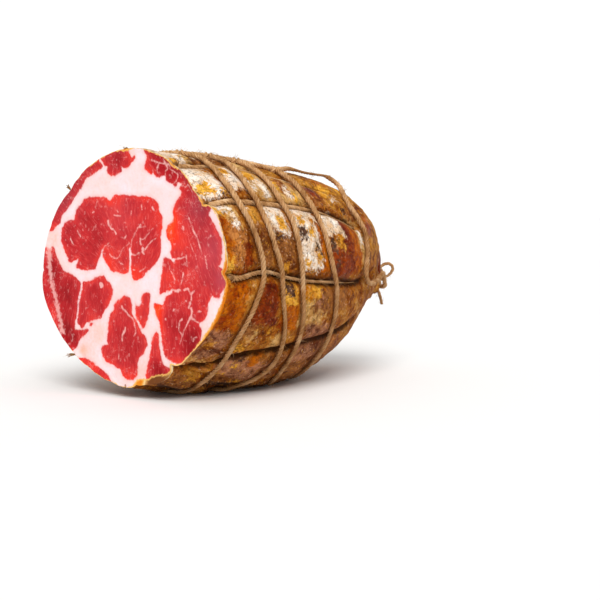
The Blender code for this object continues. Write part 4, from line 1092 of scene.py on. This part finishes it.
height = add_node(tree, "ShaderNodeMath", {0: meat, 1: -0.5, 2: ripple},
                  operation="MULTIPLY_ADD").outputs[0]
coarse = add_node(tree, "ShaderNodeBump", {
    "Height": height, "Strength": 0.5, "Distance": 0.0004}).outputs[0]
bump = add_node(tree, "ShaderNodeBump", {
    "Height": fibre, "Strength": 0.45, "Distance": 0.0002, "Normal": coarse}).outputs[0]
tree.links.new(bump, shader.inputs["Normal"])

flat_points = np.stack((0 * flat[:, 0], flat[:, 0], flat[:, 1]), -1)
relief = sum(height * lumps(flat_points, size, seed) for size, seed, height in FACE_RELIEF)
relief = relief + LEAN_LIES_IN * smooth_step(lean, *LEAN_EDGE)
flat_points[:, 0] = (FACE_LIES_IN + relief * FACE_RELIEF_SHARE) * smooth_step(from_rim, *FACE_EDGE)
cut_face = new_mesh("cut_face", flat_points, [face[::-1] for face in face_list], {
    "lean": lean, "vein": vein, "from_seam": from_seam, "peach": peach, "orange": orange, "mauve": mauve,
    "edge_tone": edge_tone, "in_edge": edge_width - from_rim, "fibre_turn": fibre_turn,
    "fibre_reach": fibre_reach}, face_finish)
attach(cut_face, "root")
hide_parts("meat_log")

# The twine. Three strands of jute laid into a 2.8 mm cord, hairy and a little uneven. A tree of
# nodes twists the strands round a path and sets stray fibres on them.
STRAND_OFFSET = 0.62 * MM
STRAND_RADIUS = 0.70 * MM
TWIST_LENGTH = 6.0 * MM
TWINE_STEP = 0.6 * MM
PATH_WANDER = 0.35 * MM
FIBRES_PER_SQUARE_METRE = 150000.0
FIBRE_LENGTH = 2.6 * MM
FIBRE_RADIUS = 0.055 * MM

# Raw jute: dull tan with darker and paler fibres that run with the lay. Real fibres are 0.05 mm;
# they are drawn 0.3 mm wide and 4 mm long so that they show.
jute_finish, tree, shader, place = new_material(
    "raw_jute_twine", Roughness=0.88, Specular_IOR_Level=0.1)
along = add_node(tree, "ShaderNodeAttribute", attribute_name="along").outputs["Fac"]
along = add_node(tree, "ShaderNodeMath", {0: along, 1: 250.0}, operation="MULTIPLY").outputs[0]
across = add_node(tree, "ShaderNodeAttribute", attribute_name="across").outputs["Vector"]
across = add_node(tree, "ShaderNodeVectorMath", {0: across, "Scale": 3300.0}, operation="SCALE").outputs[0]
lay = add_node(tree, "ShaderNodeCombineXYZ", {"Z": along}).outputs[0]
lay = add_node(tree, "ShaderNodeVectorMath", {0: across, 1: lay}, operation="ADD").outputs[0]
fibres = add_node(tree, "ShaderNodeTexNoise", {
    "Vector": lay, "Scale": 1.0, "Detail": 3.0, "Roughness": 0.65}).outputs["Fac"]
stain = add_node(tree, "ShaderNodeTexNoise", {
    "Vector": place, "Scale": 1 / 7, "Detail": 3.0}).outputs["Fac"]
mixed = add_node(tree, "ShaderNodeMix", {0: 0.4, 2: fibres, 3: stain}, data_type="FLOAT").outputs[0]
base = add_node(tree, "ShaderNodeValToRGB", {"Fac": mixed}, stops=(
    (0.30, "#644022"), (0.70, "#F6DAB2"), (0.43, "#A87848"), (0.54, "#D6A876"))).outputs[0]
# Fat and damp have browned the twine where it is drawn thin; low on the log it is darker, partly browned
# and partly painted shade
low = add_node(tree, "ShaderNodeSeparateXYZ", {0: place}).outputs["Z"]
low = add_node(tree, "ShaderNodeMapRange", {
    "Value": low, "From Min": 50.0, "From Max": 110.0, "To Min": 0.34, "To Max": 0.0},
    interpolation_type="SMOOTHSTEP").outputs[0]
thin = add_node(tree, "ShaderNodeAttribute", attribute_name="thickness").outputs["Fac"]
thin = add_node(tree, "ShaderNodeMapRange", {
    "Value": thin, "From Min": 0.5, "From Max": 0.8, "To Min": 0.5, "To Max": 0.0}).outputs[0]
browned_and_shaded = add_node(tree, "ShaderNodeMath", {0: low, 1: thin}, operation="MAXIMUM").outputs[0]
base = add_node(tree, "ShaderNodeMix", {0: browned_and_shaded, 6: base, 7: colour("#7A4A20")},
                data_type="RGBA").outputs[2]
tree.links.new(base, shader.inputs["Base Color"])
bump = add_node(tree, "ShaderNodeBump", {
    "Height": fibres, "Strength": 0.8, "Distance": 0.0003}).outputs[0]
tree.links.new(bump, shader.inputs["Normal"])


def new_tree(name, numbers):
    """Start a node tree with a path, named numbers, a whole-number seed and a material."""
    tree = bpy.data.node_groups.new(name, "GeometryNodeTree")
    tree.interface.new_socket("Path", in_out="INPUT", socket_type="NodeSocketGeometry")
    for label, value in numbers.items():
        socket = tree.interface.new_socket(label, in_out="INPUT", socket_type="NodeSocketFloat")
        socket.default_value = value
    tree.interface.new_socket("Seed", in_out="INPUT", socket_type="NodeSocketInt")
    tree.interface.new_socket("Material", in_out="INPUT", socket_type="NodeSocketMaterial")
    tree.interface.new_socket("Geometry", in_out="OUTPUT", socket_type="NodeSocketGeometry")
    return tree, add_node(tree, "NodeGroupInput").outputs


laid_twine, given = new_tree("laid_twine", {
    "Step": TWINE_STEP, "Strand Offset": STRAND_OFFSET, "Strand Radius": STRAND_RADIUS,
    "Twist Length": TWIST_LENGTH, "Wander": PATH_WANDER, "Fibre Density": FIBRES_PER_SQUARE_METRE,
    "Fibre Length": FIBRE_LENGTH, "Fibre Radius": FIBRE_RADIUS})
tree = laid_twine
# The path wanders a little every 9 mm, and remembers its length and thickness for the jute's finish
path = add_node(tree, "GeometryNodeResampleCurve", {"Curve": given["Path"]}, mode="LENGTH")
tree.links.new(given["Step"], path.inputs["Length"])
here = add_node(tree, "GeometryNodeInputPosition").outputs[0]
noise = add_node(tree, "ShaderNodeTexNoise", {"Vector": here, "Scale": 110.0, "Detail": 1.0})
shift = add_node(tree, "ShaderNodeVectorMath", {0: noise.outputs["Color"], 1: (0.5, 0.5, 0.5)},
                 operation="SUBTRACT").outputs[0]
shift = add_node(tree, "ShaderNodeVectorMath", {0: shift, "Scale": given["Wander"]},
                 operation="SCALE").outputs[0]
path = add_node(tree, "GeometryNodeSetPosition", {
    "Geometry": path.outputs[0], "Offset": shift}).outputs[0]
length = add_node(tree, "GeometryNodeSplineParameter").outputs["Length"]
fullness = add_node(tree, "GeometryNodeInputRadius").outputs[0]
path = add_node(tree, "GeometryNodeStoreNamedAttribute", {
    "Geometry": path, "Name": "along", "Value": length},
    data_type="FLOAT", domain="POINT").outputs[0]
path = add_node(tree, "GeometryNodeStoreNamedAttribute", {
    "Geometry": path, "Name": "thickness", "Value": fullness},
    data_type="FLOAT", domain="POINT").outputs[0]
tangent = add_node(tree, "GeometryNodeInputTangent").outputs[0]
normal = add_node(tree, "GeometryNodeInputNormal").outputs[0]
side = add_node(tree, "ShaderNodeVectorMath", {0: tangent, 1: normal},
                operation="CROSS_PRODUCT").outputs[0]
turns = add_node(tree, "ShaderNodeMath", {0: length, 1: given["Twist Length"]},
                 operation="DIVIDE").outputs[0]
# Three strands, uneven every 4 mm, twist round it
ring = add_node(tree, "GeometryNodeCurvePrimitiveCircle", {
    "Resolution": 6, "Radius": given["Strand Radius"]})
ring = add_node(tree, "GeometryNodeStoreNamedAttribute", {
    "Geometry": ring.outputs[0], "Name": "across", "Value": here},
    data_type="FLOAT_VECTOR", domain="POINT").outputs[0]
uneven = add_node(tree, "ShaderNodeTexNoise", {
    "Vector": here, "Scale": 260.0, "Detail": 1.0}).outputs["Fac"]
uneven = add_node(tree, "ShaderNodeMapRange", {
    "Value": uneven, "From Min": 0.3, "From Max": 0.7, "To Min": 0.78, "To Max": 1.12}).outputs[0]
uneven = add_node(tree, "ShaderNodeMath", {0: uneven, 1: fullness}, operation="MULTIPLY").outputs[0]
offset = add_node(tree, "ShaderNodeMath", {0: given["Strand Offset"], 1: fullness},
                  operation="MULTIPLY").outputs[0]
whole = add_node(tree, "GeometryNodeJoinGeometry")
for strand in range(3):
    phase = add_node(tree, "ShaderNodeMath", {0: turns, 1: strand / 3}, operation="ADD").outputs[0]
    phase = add_node(tree, "ShaderNodeMath", {0: phase, 1: 2 * math.pi}, operation="MULTIPLY").outputs[0]
    cosine = add_node(tree, "ShaderNodeMath", {0: phase}, operation="COSINE").outputs[0]
    sine = add_node(tree, "ShaderNodeMath", {0: phase}, operation="SINE").outputs[0]
    out = add_node(tree, "ShaderNodeVectorMath", {0: normal, "Scale": cosine}, operation="SCALE").outputs[0]
    sideways = add_node(tree, "ShaderNodeVectorMath", {0: side, "Scale": sine},
                        operation="SCALE").outputs[0]
    out = add_node(tree, "ShaderNodeVectorMath", {0: out, 1: sideways}, operation="ADD").outputs[0]
    out = add_node(tree, "ShaderNodeVectorMath", {0: out, "Scale": offset}, operation="SCALE").outputs[0]
    laid = add_node(tree, "GeometryNodeSetPosition", {"Geometry": path, "Offset": out}).outputs[0]
    tube = add_node(tree, "GeometryNodeCurveToMesh", {
        "Curve": laid, "Profile Curve": ring, "Scale": uneven, "Fill Caps": True}).outputs[0]
    tree.links.new(tube, whole.inputs[0])
# Stray fibres, thin curved hairs that taper, stand on the strands and lean every way
roots = add_node(tree, "GeometryNodeDistributePointsOnFaces", {
    "Mesh": whole.outputs[0], "Density": given["Fibre Density"], "Seed": given["Seed"]})
hair = add_node(tree, "GeometryNodeCurvePrimitiveLine", {"End": (0.0, 0.0, 1.0)}).outputs[0]
hair = add_node(tree, "GeometryNodeResampleCurve", {"Curve": hair, "Count": 4}, mode="COUNT").outputs[0]
share = add_node(tree, "GeometryNodeSplineParameter").outputs["Factor"]
curl = add_node(tree, "ShaderNodeMath", {0: share, 1: 2.0}, operation="POWER").outputs[0]
curl = add_node(tree, "ShaderNodeMath", {0: curl, 1: 0.45}, operation="MULTIPLY").outputs[0]
curl = add_node(tree, "ShaderNodeCombineXYZ", {"X": curl}).outputs[0]
hair = add_node(tree, "GeometryNodeSetPosition", {"Geometry": hair, "Offset": curl}).outputs[0]
thin = add_node(tree, "ShaderNodeMath", {0: given["Fibre Radius"], 1: given["Fibre Length"]},
                operation="DIVIDE").outputs[0]
thin = add_node(tree, "GeometryNodeCurvePrimitiveCircle", {"Resolution": 3, "Radius": thin}).outputs[0]
taper = add_node(tree, "ShaderNodeMapRange", {"Value": share, "To Min": 1.0, "To Max": 0.35}).outputs[0]
hair = add_node(tree, "GeometryNodeCurveToMesh", {
    "Curve": hair, "Profile Curve": thin, "Scale": taper, "Fill Caps": True}).outputs[0]
tilt = add_node(tree, "FunctionNodeRandomValue", {
    0: (0.75, -0.4, 0.0), 1: (1.45, 0.4, 0.0), "Seed": given["Seed"]},
    data_type="FLOAT_VECTOR").outputs[0]
spin = add_node(tree, "FunctionNodeRandomValue", {
    0: (0.0, 0.0, -3.14), 1: (0.0, 0.0, 3.14), "Seed": 5},
    data_type="FLOAT_VECTOR").outputs[0]
stand = add_node(tree, "FunctionNodeRotateRotation", {
    "Rotation": roots.outputs["Rotation"], "Rotate By": spin}, rotation_space="LOCAL").outputs[0]
stand = add_node(tree, "FunctionNodeRotateRotation", {
    "Rotation": stand, "Rotate By": tilt}, rotation_space="LOCAL").outputs[0]
size = add_node(tree, "FunctionNodeRandomValue", {2: 0.4, 3: 1.3, "Seed": 7},
                data_type="FLOAT").outputs[1]
size = add_node(tree, "ShaderNodeMath", {0: size, 1: given["Fibre Length"]},
                operation="MULTIPLY").outputs[0]
hairs = add_node(tree, "GeometryNodeInstanceOnPoints", {
    "Points": roots.outputs["Points"], "Instance": hair, "Rotation": stand,
    "Scale": size}).outputs[0]
finished = add_node(tree, "GeometryNodeJoinGeometry", {0: whole.outputs[0]})
tree.links.new(hairs, finished.inputs[0])
real = add_node(tree, "GeometryNodeRealizeInstances", {"Geometry": finished.outputs[0]}).outputs[0]
real = add_node(tree, "GeometryNodeSetMaterial", {
    "Geometry": real, "Material": given["Material"]}).outputs[0]
add_node(tree, "NodeGroupOutput", {0: real})


def lay_twine(name, runs, *nodes, **sizes):
    """Lay twine along runs of (points, thickness, closed), as one piece that stands for some solids."""
    curve = bpy.data.curves.new(name + "_path", "CURVE")
    curve.dimensions = "3D"
    for points, thickness, closed in runs:
        spline = curve.splines.new("POLY")
        spline.points.add(len(points) - 1)
        spline.points.foreach_set("co", np.column_stack((to_frame(points), np.ones(len(points)))).ravel())
        spline.points.foreach_set("radius", np.full(len(points), 1.0) * thickness)
        spline.use_cyclic_u = closed
    guide = bpy.data.objects.new(name + "_path", curve)
    bpy.context.scene.collection.objects.link(guide)
    modifier = guide.modifiers.new("lay", "NODES")
    modifier.node_group = laid_twine
    chosen = {"Seed": len(name), "Material": jute_finish}
    chosen.update({label.replace("_", " "): value for label, value in sizes.items()})
    for socket in laid_twine.interface.items_tree:
        if socket.name in chosen:
            modifier[socket.identifier] = chosen[socket.name]
    guide.update_tag()
    mesh = bpy.data.meshes.new_from_object(guide.evaluated_get(bpy.context.evaluated_depsgraph_get()))
    mesh.name = name
    # The floor flattens the twine and its stray fibres
    places = np.empty(len(mesh.vertices) * 3, np.float32)
    mesh.vertices.foreach_get("co", places)
    places[2::3] = np.maximum(places[2::3], 0.0)
    mesh.vertices.foreach_set("co", places)
    mesh.shade_smooth()
    bpy.data.objects.remove(guide)
    piece = bpy.data.objects.new(name, mesh)
    bpy.context.scene.collection.objects.link(piece)
    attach(piece, "root")
    if nodes:
        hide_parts(*nodes)


# Long strings. Seven straight lengths under the hoops, drawn tight so that they sink in the casing
# and leave a crease; their cut ends fray at the cut face.
KNOT_FROM_TIP = (5.0, 1.2, 0.6)
# Strings end this far before the log's tip, and this far from the knot
TIP_CLEARANCE = 0.4
KNOT_CLEARANCE = 6.0
# Thickness against distance from the cut, where a string is drawn thin or lies full
STRING_THICKNESS = {"near_middle": ((0, 1.3), (10, 1.1), (26, 0.75), (76, 0.6), (88, 0.25), (103, 0.2)),
                    "near_upper": ((0, 1.25), (60, 1.1), (84, 0.6), (113, 0.45)),
                    "near_high": ((0, 1.2), (45, 1.0), (84, 0.6), (104, 0.35))}
PLAIN_THICKNESS = ((0, 0.85), (160, 0.85))
tail_knot = tail_tip + np.array(KNOT_FROM_TIP)
for name, start, end, sink_at_cut, _ in LONG_STRINGS:
    stop = min(end, LOG_LENGTH - TIP_CLEARANCE)
    x = start + (stop - start) * np.sin(np.linspace(0, math.pi / 2, 120))
    angle = string_lines[name](x)
    points = surface(x, angle) - outward(x, angle) * string_sink(x, sink_at_cut)[:, None]
    clear = np.linalg.norm(points - tail_knot, axis=1) > KNOT_CLEARANCE
    points[:, 2] = np.maximum(points[:, 2], TWINE_RADIUS + LOWEST_TWINE)
    thickness = smooth_line(STRING_THICKNESS.get(name, PLAIN_THICKNESS))(x)
    lay_twine("twine_" + name, [(points[clear], thickness[clear], False)], "string_" + name)

# Frayed ends. Where the knife went through the long strings their jute has sprung apart into thin
# strands, some over the edge of the cut.
FRAYS_PER_END = 9
FRAY_THICKNESS = 0.3
FRAY_TAPER = 0.5
FRAY_STRANDS = {"Fibre_Density": 40000.0, "Strand_Offset": 0.5 * MM, "Strand_Radius": 0.5 * MM}
# Shares of an end's length, then of its spread: at the root, in a strand's bend and in its curl. Last,
# the least height of a strand
FRAY_LENGTHS = (0.5, 1.0)
FRAY_ROOT_SPREAD = 0.3
FRAY_BEND = 0.5
FRAY_CURL = 0.35
FRAY_LOWEST = 0.6
# Ends: distance from the cut, angle, rise over the skin, the way the strands spring (back, left, up),
# their length and how far apart they spread
FRAYED_ENDS = (
    (1.0, 228, 0.6, (-0.1, 0.95, -0.1), 5.0, 0.9), (1.0, 137, 0.8, (-0.1, 0.7, 0.5), 2.4, 0.6),
    (3.4, 63.8, -0.6, (-0.9, -0.15, 0.2), 3.2, 1.1), (4.6, -0.4, -0.8, (-0.8, 0.0, -0.2), 3.0, 1.8),
    (2.2, 35.6, -1.0, (-0.9, 0.0, 0.2), 2.2, 0.8), (1.2, 92, 0.1, (-0.4, 0.8, 0.2), 2.0, 0.5),
    (1.6, 263, 0.2, (-0.4, -0.6, 0.1), 4.5, 0.8),
)
chance = np.random.default_rng(17)
fray_runs = []
for x, angle, rise, toward, length, spread_out in FRAYED_ENDS:
    root = surface(x, angle) + outward(np.array(x), np.array(angle)) * rise
    toward = np.array(toward) / np.linalg.norm(toward)
    for _ in range(FRAYS_PER_END):
        reach = length * chance.uniform(*FRAY_LENGTHS)
        bend = chance.normal(size=3) * spread_out * FRAY_BEND
        curl = chance.normal(size=3) * spread_out * FRAY_CURL
        share = np.linspace(0, 1, 8)[:, None]
        strand = root + bend * FRAY_ROOT_SPREAD + toward * reach * share + bend * share
        strand = strand + curl * share ** 2 * (1 - share) * 3
        strand[:, 2] = np.maximum(strand[:, 2], FRAY_LOWEST)
        fray_runs.append((strand, FRAY_THICKNESS * (1 - FRAY_TAPER * share[:, 0]), False))
lay_twine("frayed_ends", fray_runs, **FRAY_STRANDS)

# Hoops, ridge and tail. The same twine goes round four times, each hoop hitched to the ridge on
# top, then arches off the shoulder to the tail, where it is knotted round the gather in a bow.
KNOT_SIZE = 1.75
KNOT_SHARE = 0.8
KNOT_DEPTH = 1.2
KNOT_THICKNESS = 0.9
BOW_THICKNESS = 0.66
# Thickness of a hoop's lower side, what its upper side adds, and the heights between which it grows,
# where 1 is the top
HOOP_THICKNESS = 0.84
HOOP_THICKER_ABOVE = 0.16
HOOP_THICKENS = (-0.35, 0.25)
# A hitch coils round the ridge: the coil's size, its reach to each side, and the half circles it
# starts and stops at
HITCH_RADIUS = 1.25
HITCH_RISE = 0.4
HITCH_PITCH = 2.7
HITCH_REACH = 2.0
HITCH_WRAPS = (-0.5, 3.4)
HITCH_THICKNESS = 0.9
# The ridge ends this far before the last hitch, and the twine rises from there over the shoulder,
# where it stretches thin
RIDGE_ENDS_BEFORE = 3
ARCH_THINS = (84.0, 100.0)
ARCH_THICKENS = (116.0, 122.0)
ARCH_ABOVE = 92.0
ARCH_THINNING = 0.45
BOW_LOOPS = (
    ((0, 0, 0), (0.5, -2.0, 5.5), (2.0, -4.5, 9.5), (4.5, -7.0, 10.8), (6.2, -8.6, 8.6),
     (5.4, -7.6, 5.4), (3.0, -4.2, 2.6), (0, 0, 0)),
    ((0, 0, 0), (3.6, -1.0, 1.5), (6.4, -1.6, 4.2), (6.0, -1.2, 7.2), (3.2, -0.4, 7.8),
     (0.8, 0.2, 5.0), (0, 0, 0)),
)
LOOSE_ENDS = (
    ((0, 0, 0), (1.8, -2.4, -3.6), (1.2, -4.4, -7.2), (0.6, -5.6, -10.4)),
    ((0, 0, 0), (2.4, 1.6, -3.8), (2.0, 3.6, -7.6)),
)
turn = np.linspace(-180, 180, 240, endpoint=False)
hoop_thickness = HOOP_THICKNESS + HOOP_THICKER_ABOVE * smooth_step(np.sin(np.radians(turn)), *HOOP_THICKENS)
net_runs = [(on_skin(line(turn), turn, HOOP_RISE + 0 * turn), hoop_thickness, True) for line in hoop_lines]
# A hoop crosses the ridge where stepping from the one line to the other settles
FIRST_GUESS = 30.0
STEPS_TO_SETTLE = 20
crossings = []
for line in hoop_lines:
    x = FIRST_GUESS
    for _ in range(STEPS_TO_SETTLE):
        x = float(line(ridge_line(x)))
    crossings.append(x)
x = np.linspace(RIDGE_START, crossings[-1] - RIDGE_ENDS_BEFORE, 60)
ridge = on_skin(x, ridge_line(x), HOOP_RISE + 0 * x)
x, angle, rise = np.array(TAIL_STRING).T
tail = on_skin(x, angle, rise)
run = np.vstack((ridge, rounded(np.vstack((ridge[-1:], tail, tail_knot[None])), 5)[1:]))
thin = smooth_step(run[:, 0], *ARCH_THINS) * (1 - smooth_step(run[:, 0], *ARCH_THICKENS))
thin = np.where(run[:, 2] > ARCH_ABOVE, thin, 0)
net_runs.append((run, 1 - ARCH_THINNING * thin, False))
for x in crossings:
    spots = np.array((x - HITCH_REACH, x + HITCH_REACH))
    near, far = on_skin(spots, ridge_line(spots), np.array((HITCH_RISE, HITCH_RISE)))
    along = (far - near) / np.linalg.norm(far - near)
    up = outward(np.array(x), ridge_line(np.array(x)))
    sideways = np.cross(along, up)
    phase = np.linspace(*HITCH_WRAPS, 40) * math.pi
    wrap = near + along * (phase / (2 * math.pi) * HITCH_PITCH)[:, None]
    wrap = wrap + HITCH_RADIUS * (np.cos(phase)[:, None] * sideways + np.sin(phase)[:, None] * up)
    net_runs.append((wrap, HITCH_THICKNESS, False))
# The knot is an overhand knot drawn closed, the curve called a trefoil
phase = np.linspace(0, 2 * math.pi, 60, endpoint=False)
knot = np.stack((np.sin(phase) + 2 * np.sin(2 * phase), np.cos(phase) - 2 * np.cos(2 * phase),
                 -np.sin(3 * phase) * KNOT_DEPTH), -1)
net_runs.append((tail_knot + KNOT_SIZE * knot[:, (2, 0, 1)] * KNOT_SHARE, KNOT_THICKNESS, True))
for loop in BOW_LOOPS + LOOSE_ENDS:
    net_runs.append((tail_knot + rounded(loop, 8), BOW_THICKNESS, False))
lay_twine("twine_net", net_runs, "net_twine")

# Floor, light and camera. A pale studio floor under broad soft lamps, seen as in the photograph:
# low, with the cut face toward the lens.
CAMERA_PLACE = (-0.50992, -0.43889, 0.09238)
CAMERA_AZIMUTH = -52.0
CAMERA_HEIGHT = 4.5
CAMERA_LENS = 85.0
FLOOR_HALF = 4000
ROOM_LIGHT = 0.42
# A bright screen stands behind the log; its edge is given as cosines of the angle from its middle
SCREEN_LIGHT = 1.05
SCREEN_EDGE = (0.86, 0.94)
# Lamps: name, direction toward the lamp, softness in degrees, strength
LAMPS = (("key", (-0.55, -0.45, 0.70), 35.0, 2.3), ("overhead", (0.1, -0.3, 0.95), 60.0, 0.6))

# Matt white board, which gives soft shadows and no reflection. Its tone drifts over 400 mm.
floor_finish, tree, shader, place = new_material(
    "matte_white_board", Roughness=0.9, Specular_IOR_Level=0.1)
shade = add_node(tree, "ShaderNodeTexNoise", {"Vector": place, "Scale": 1 / 400}).outputs["Fac"]
base = add_node(tree, "ShaderNodeMix", {0: shade, 6: colour("#F6F5F3"), 7: colour("#F9F8F7")},
                data_type="RGBA").outputs[2]
tree.links.new(base, shader.inputs["Base Color"])
corners = [(x * FLOOR_HALF + REST_FROM_CUT, y * FLOOR_HALF, 0)
           for x, y in ((-1, -1), (1, -1), (1, 1), (-1, 1))]
floor = new_mesh("floor", corners, [(0, 1, 2, 3)], {}, floor_finish)

world = bpy.data.worlds.new("studio")
world.use_nodes = True
tree = world.node_tree
toward = add_node(tree, "ShaderNodeTexCoord").outputs["Generated"]
behind = (-math.sin(math.radians(CAMERA_AZIMUTH)), math.cos(math.radians(CAMERA_AZIMUTH)), 0.0)
screen = add_node(tree, "ShaderNodeVectorMath", {0: toward, 1: behind},
                  operation="DOT_PRODUCT").outputs["Value"]
screen = add_node(tree, "ShaderNodeMapRange", {
    "Value": screen, "From Min": SCREEN_EDGE[0], "From Max": SCREEN_EDGE[1],
    "To Min": ROOM_LIGHT, "To Max": SCREEN_LIGHT}).outputs[0]
tree.links.new(screen, tree.nodes["Background"].inputs["Strength"])
tree.nodes["Background"].inputs["Color"].default_value = (1.0, 1.0, 1.0, 1.0)
bpy.context.scene.world = world
for name, toward, softness, strength in LAMPS:
    lamp = bpy.data.lights.new(name, "SUN")
    lamp.angle = math.radians(softness)
    lamp.energy = strength
    thing = bpy.data.objects.new(name, lamp)
    thing.rotation_euler = Vector(toward).to_track_quat("Z", "Y").to_euler()
    bpy.context.scene.collection.objects.link(thing)

lens = bpy.data.cameras.new("camera")
lens.lens = CAMERA_LENS
lens.clip_start = 0.01
camera = bpy.data.objects.new("camera", lens)
turned, raised = math.radians(CAMERA_AZIMUTH), math.radians(CAMERA_HEIGHT)
back = Vector((math.sin(turned) * math.cos(raised), -math.cos(turned) * math.cos(raised),
               math.sin(raised)))
camera.location = CAMERA_PLACE
camera.rotation_euler = (-back).to_track_quat("-Z", "Y").to_euler()
bpy.context.scene.collection.objects.link(camera)
bpy.context.scene.camera = camera
bpy.context.scene.view_settings.view_transform = "Standard"
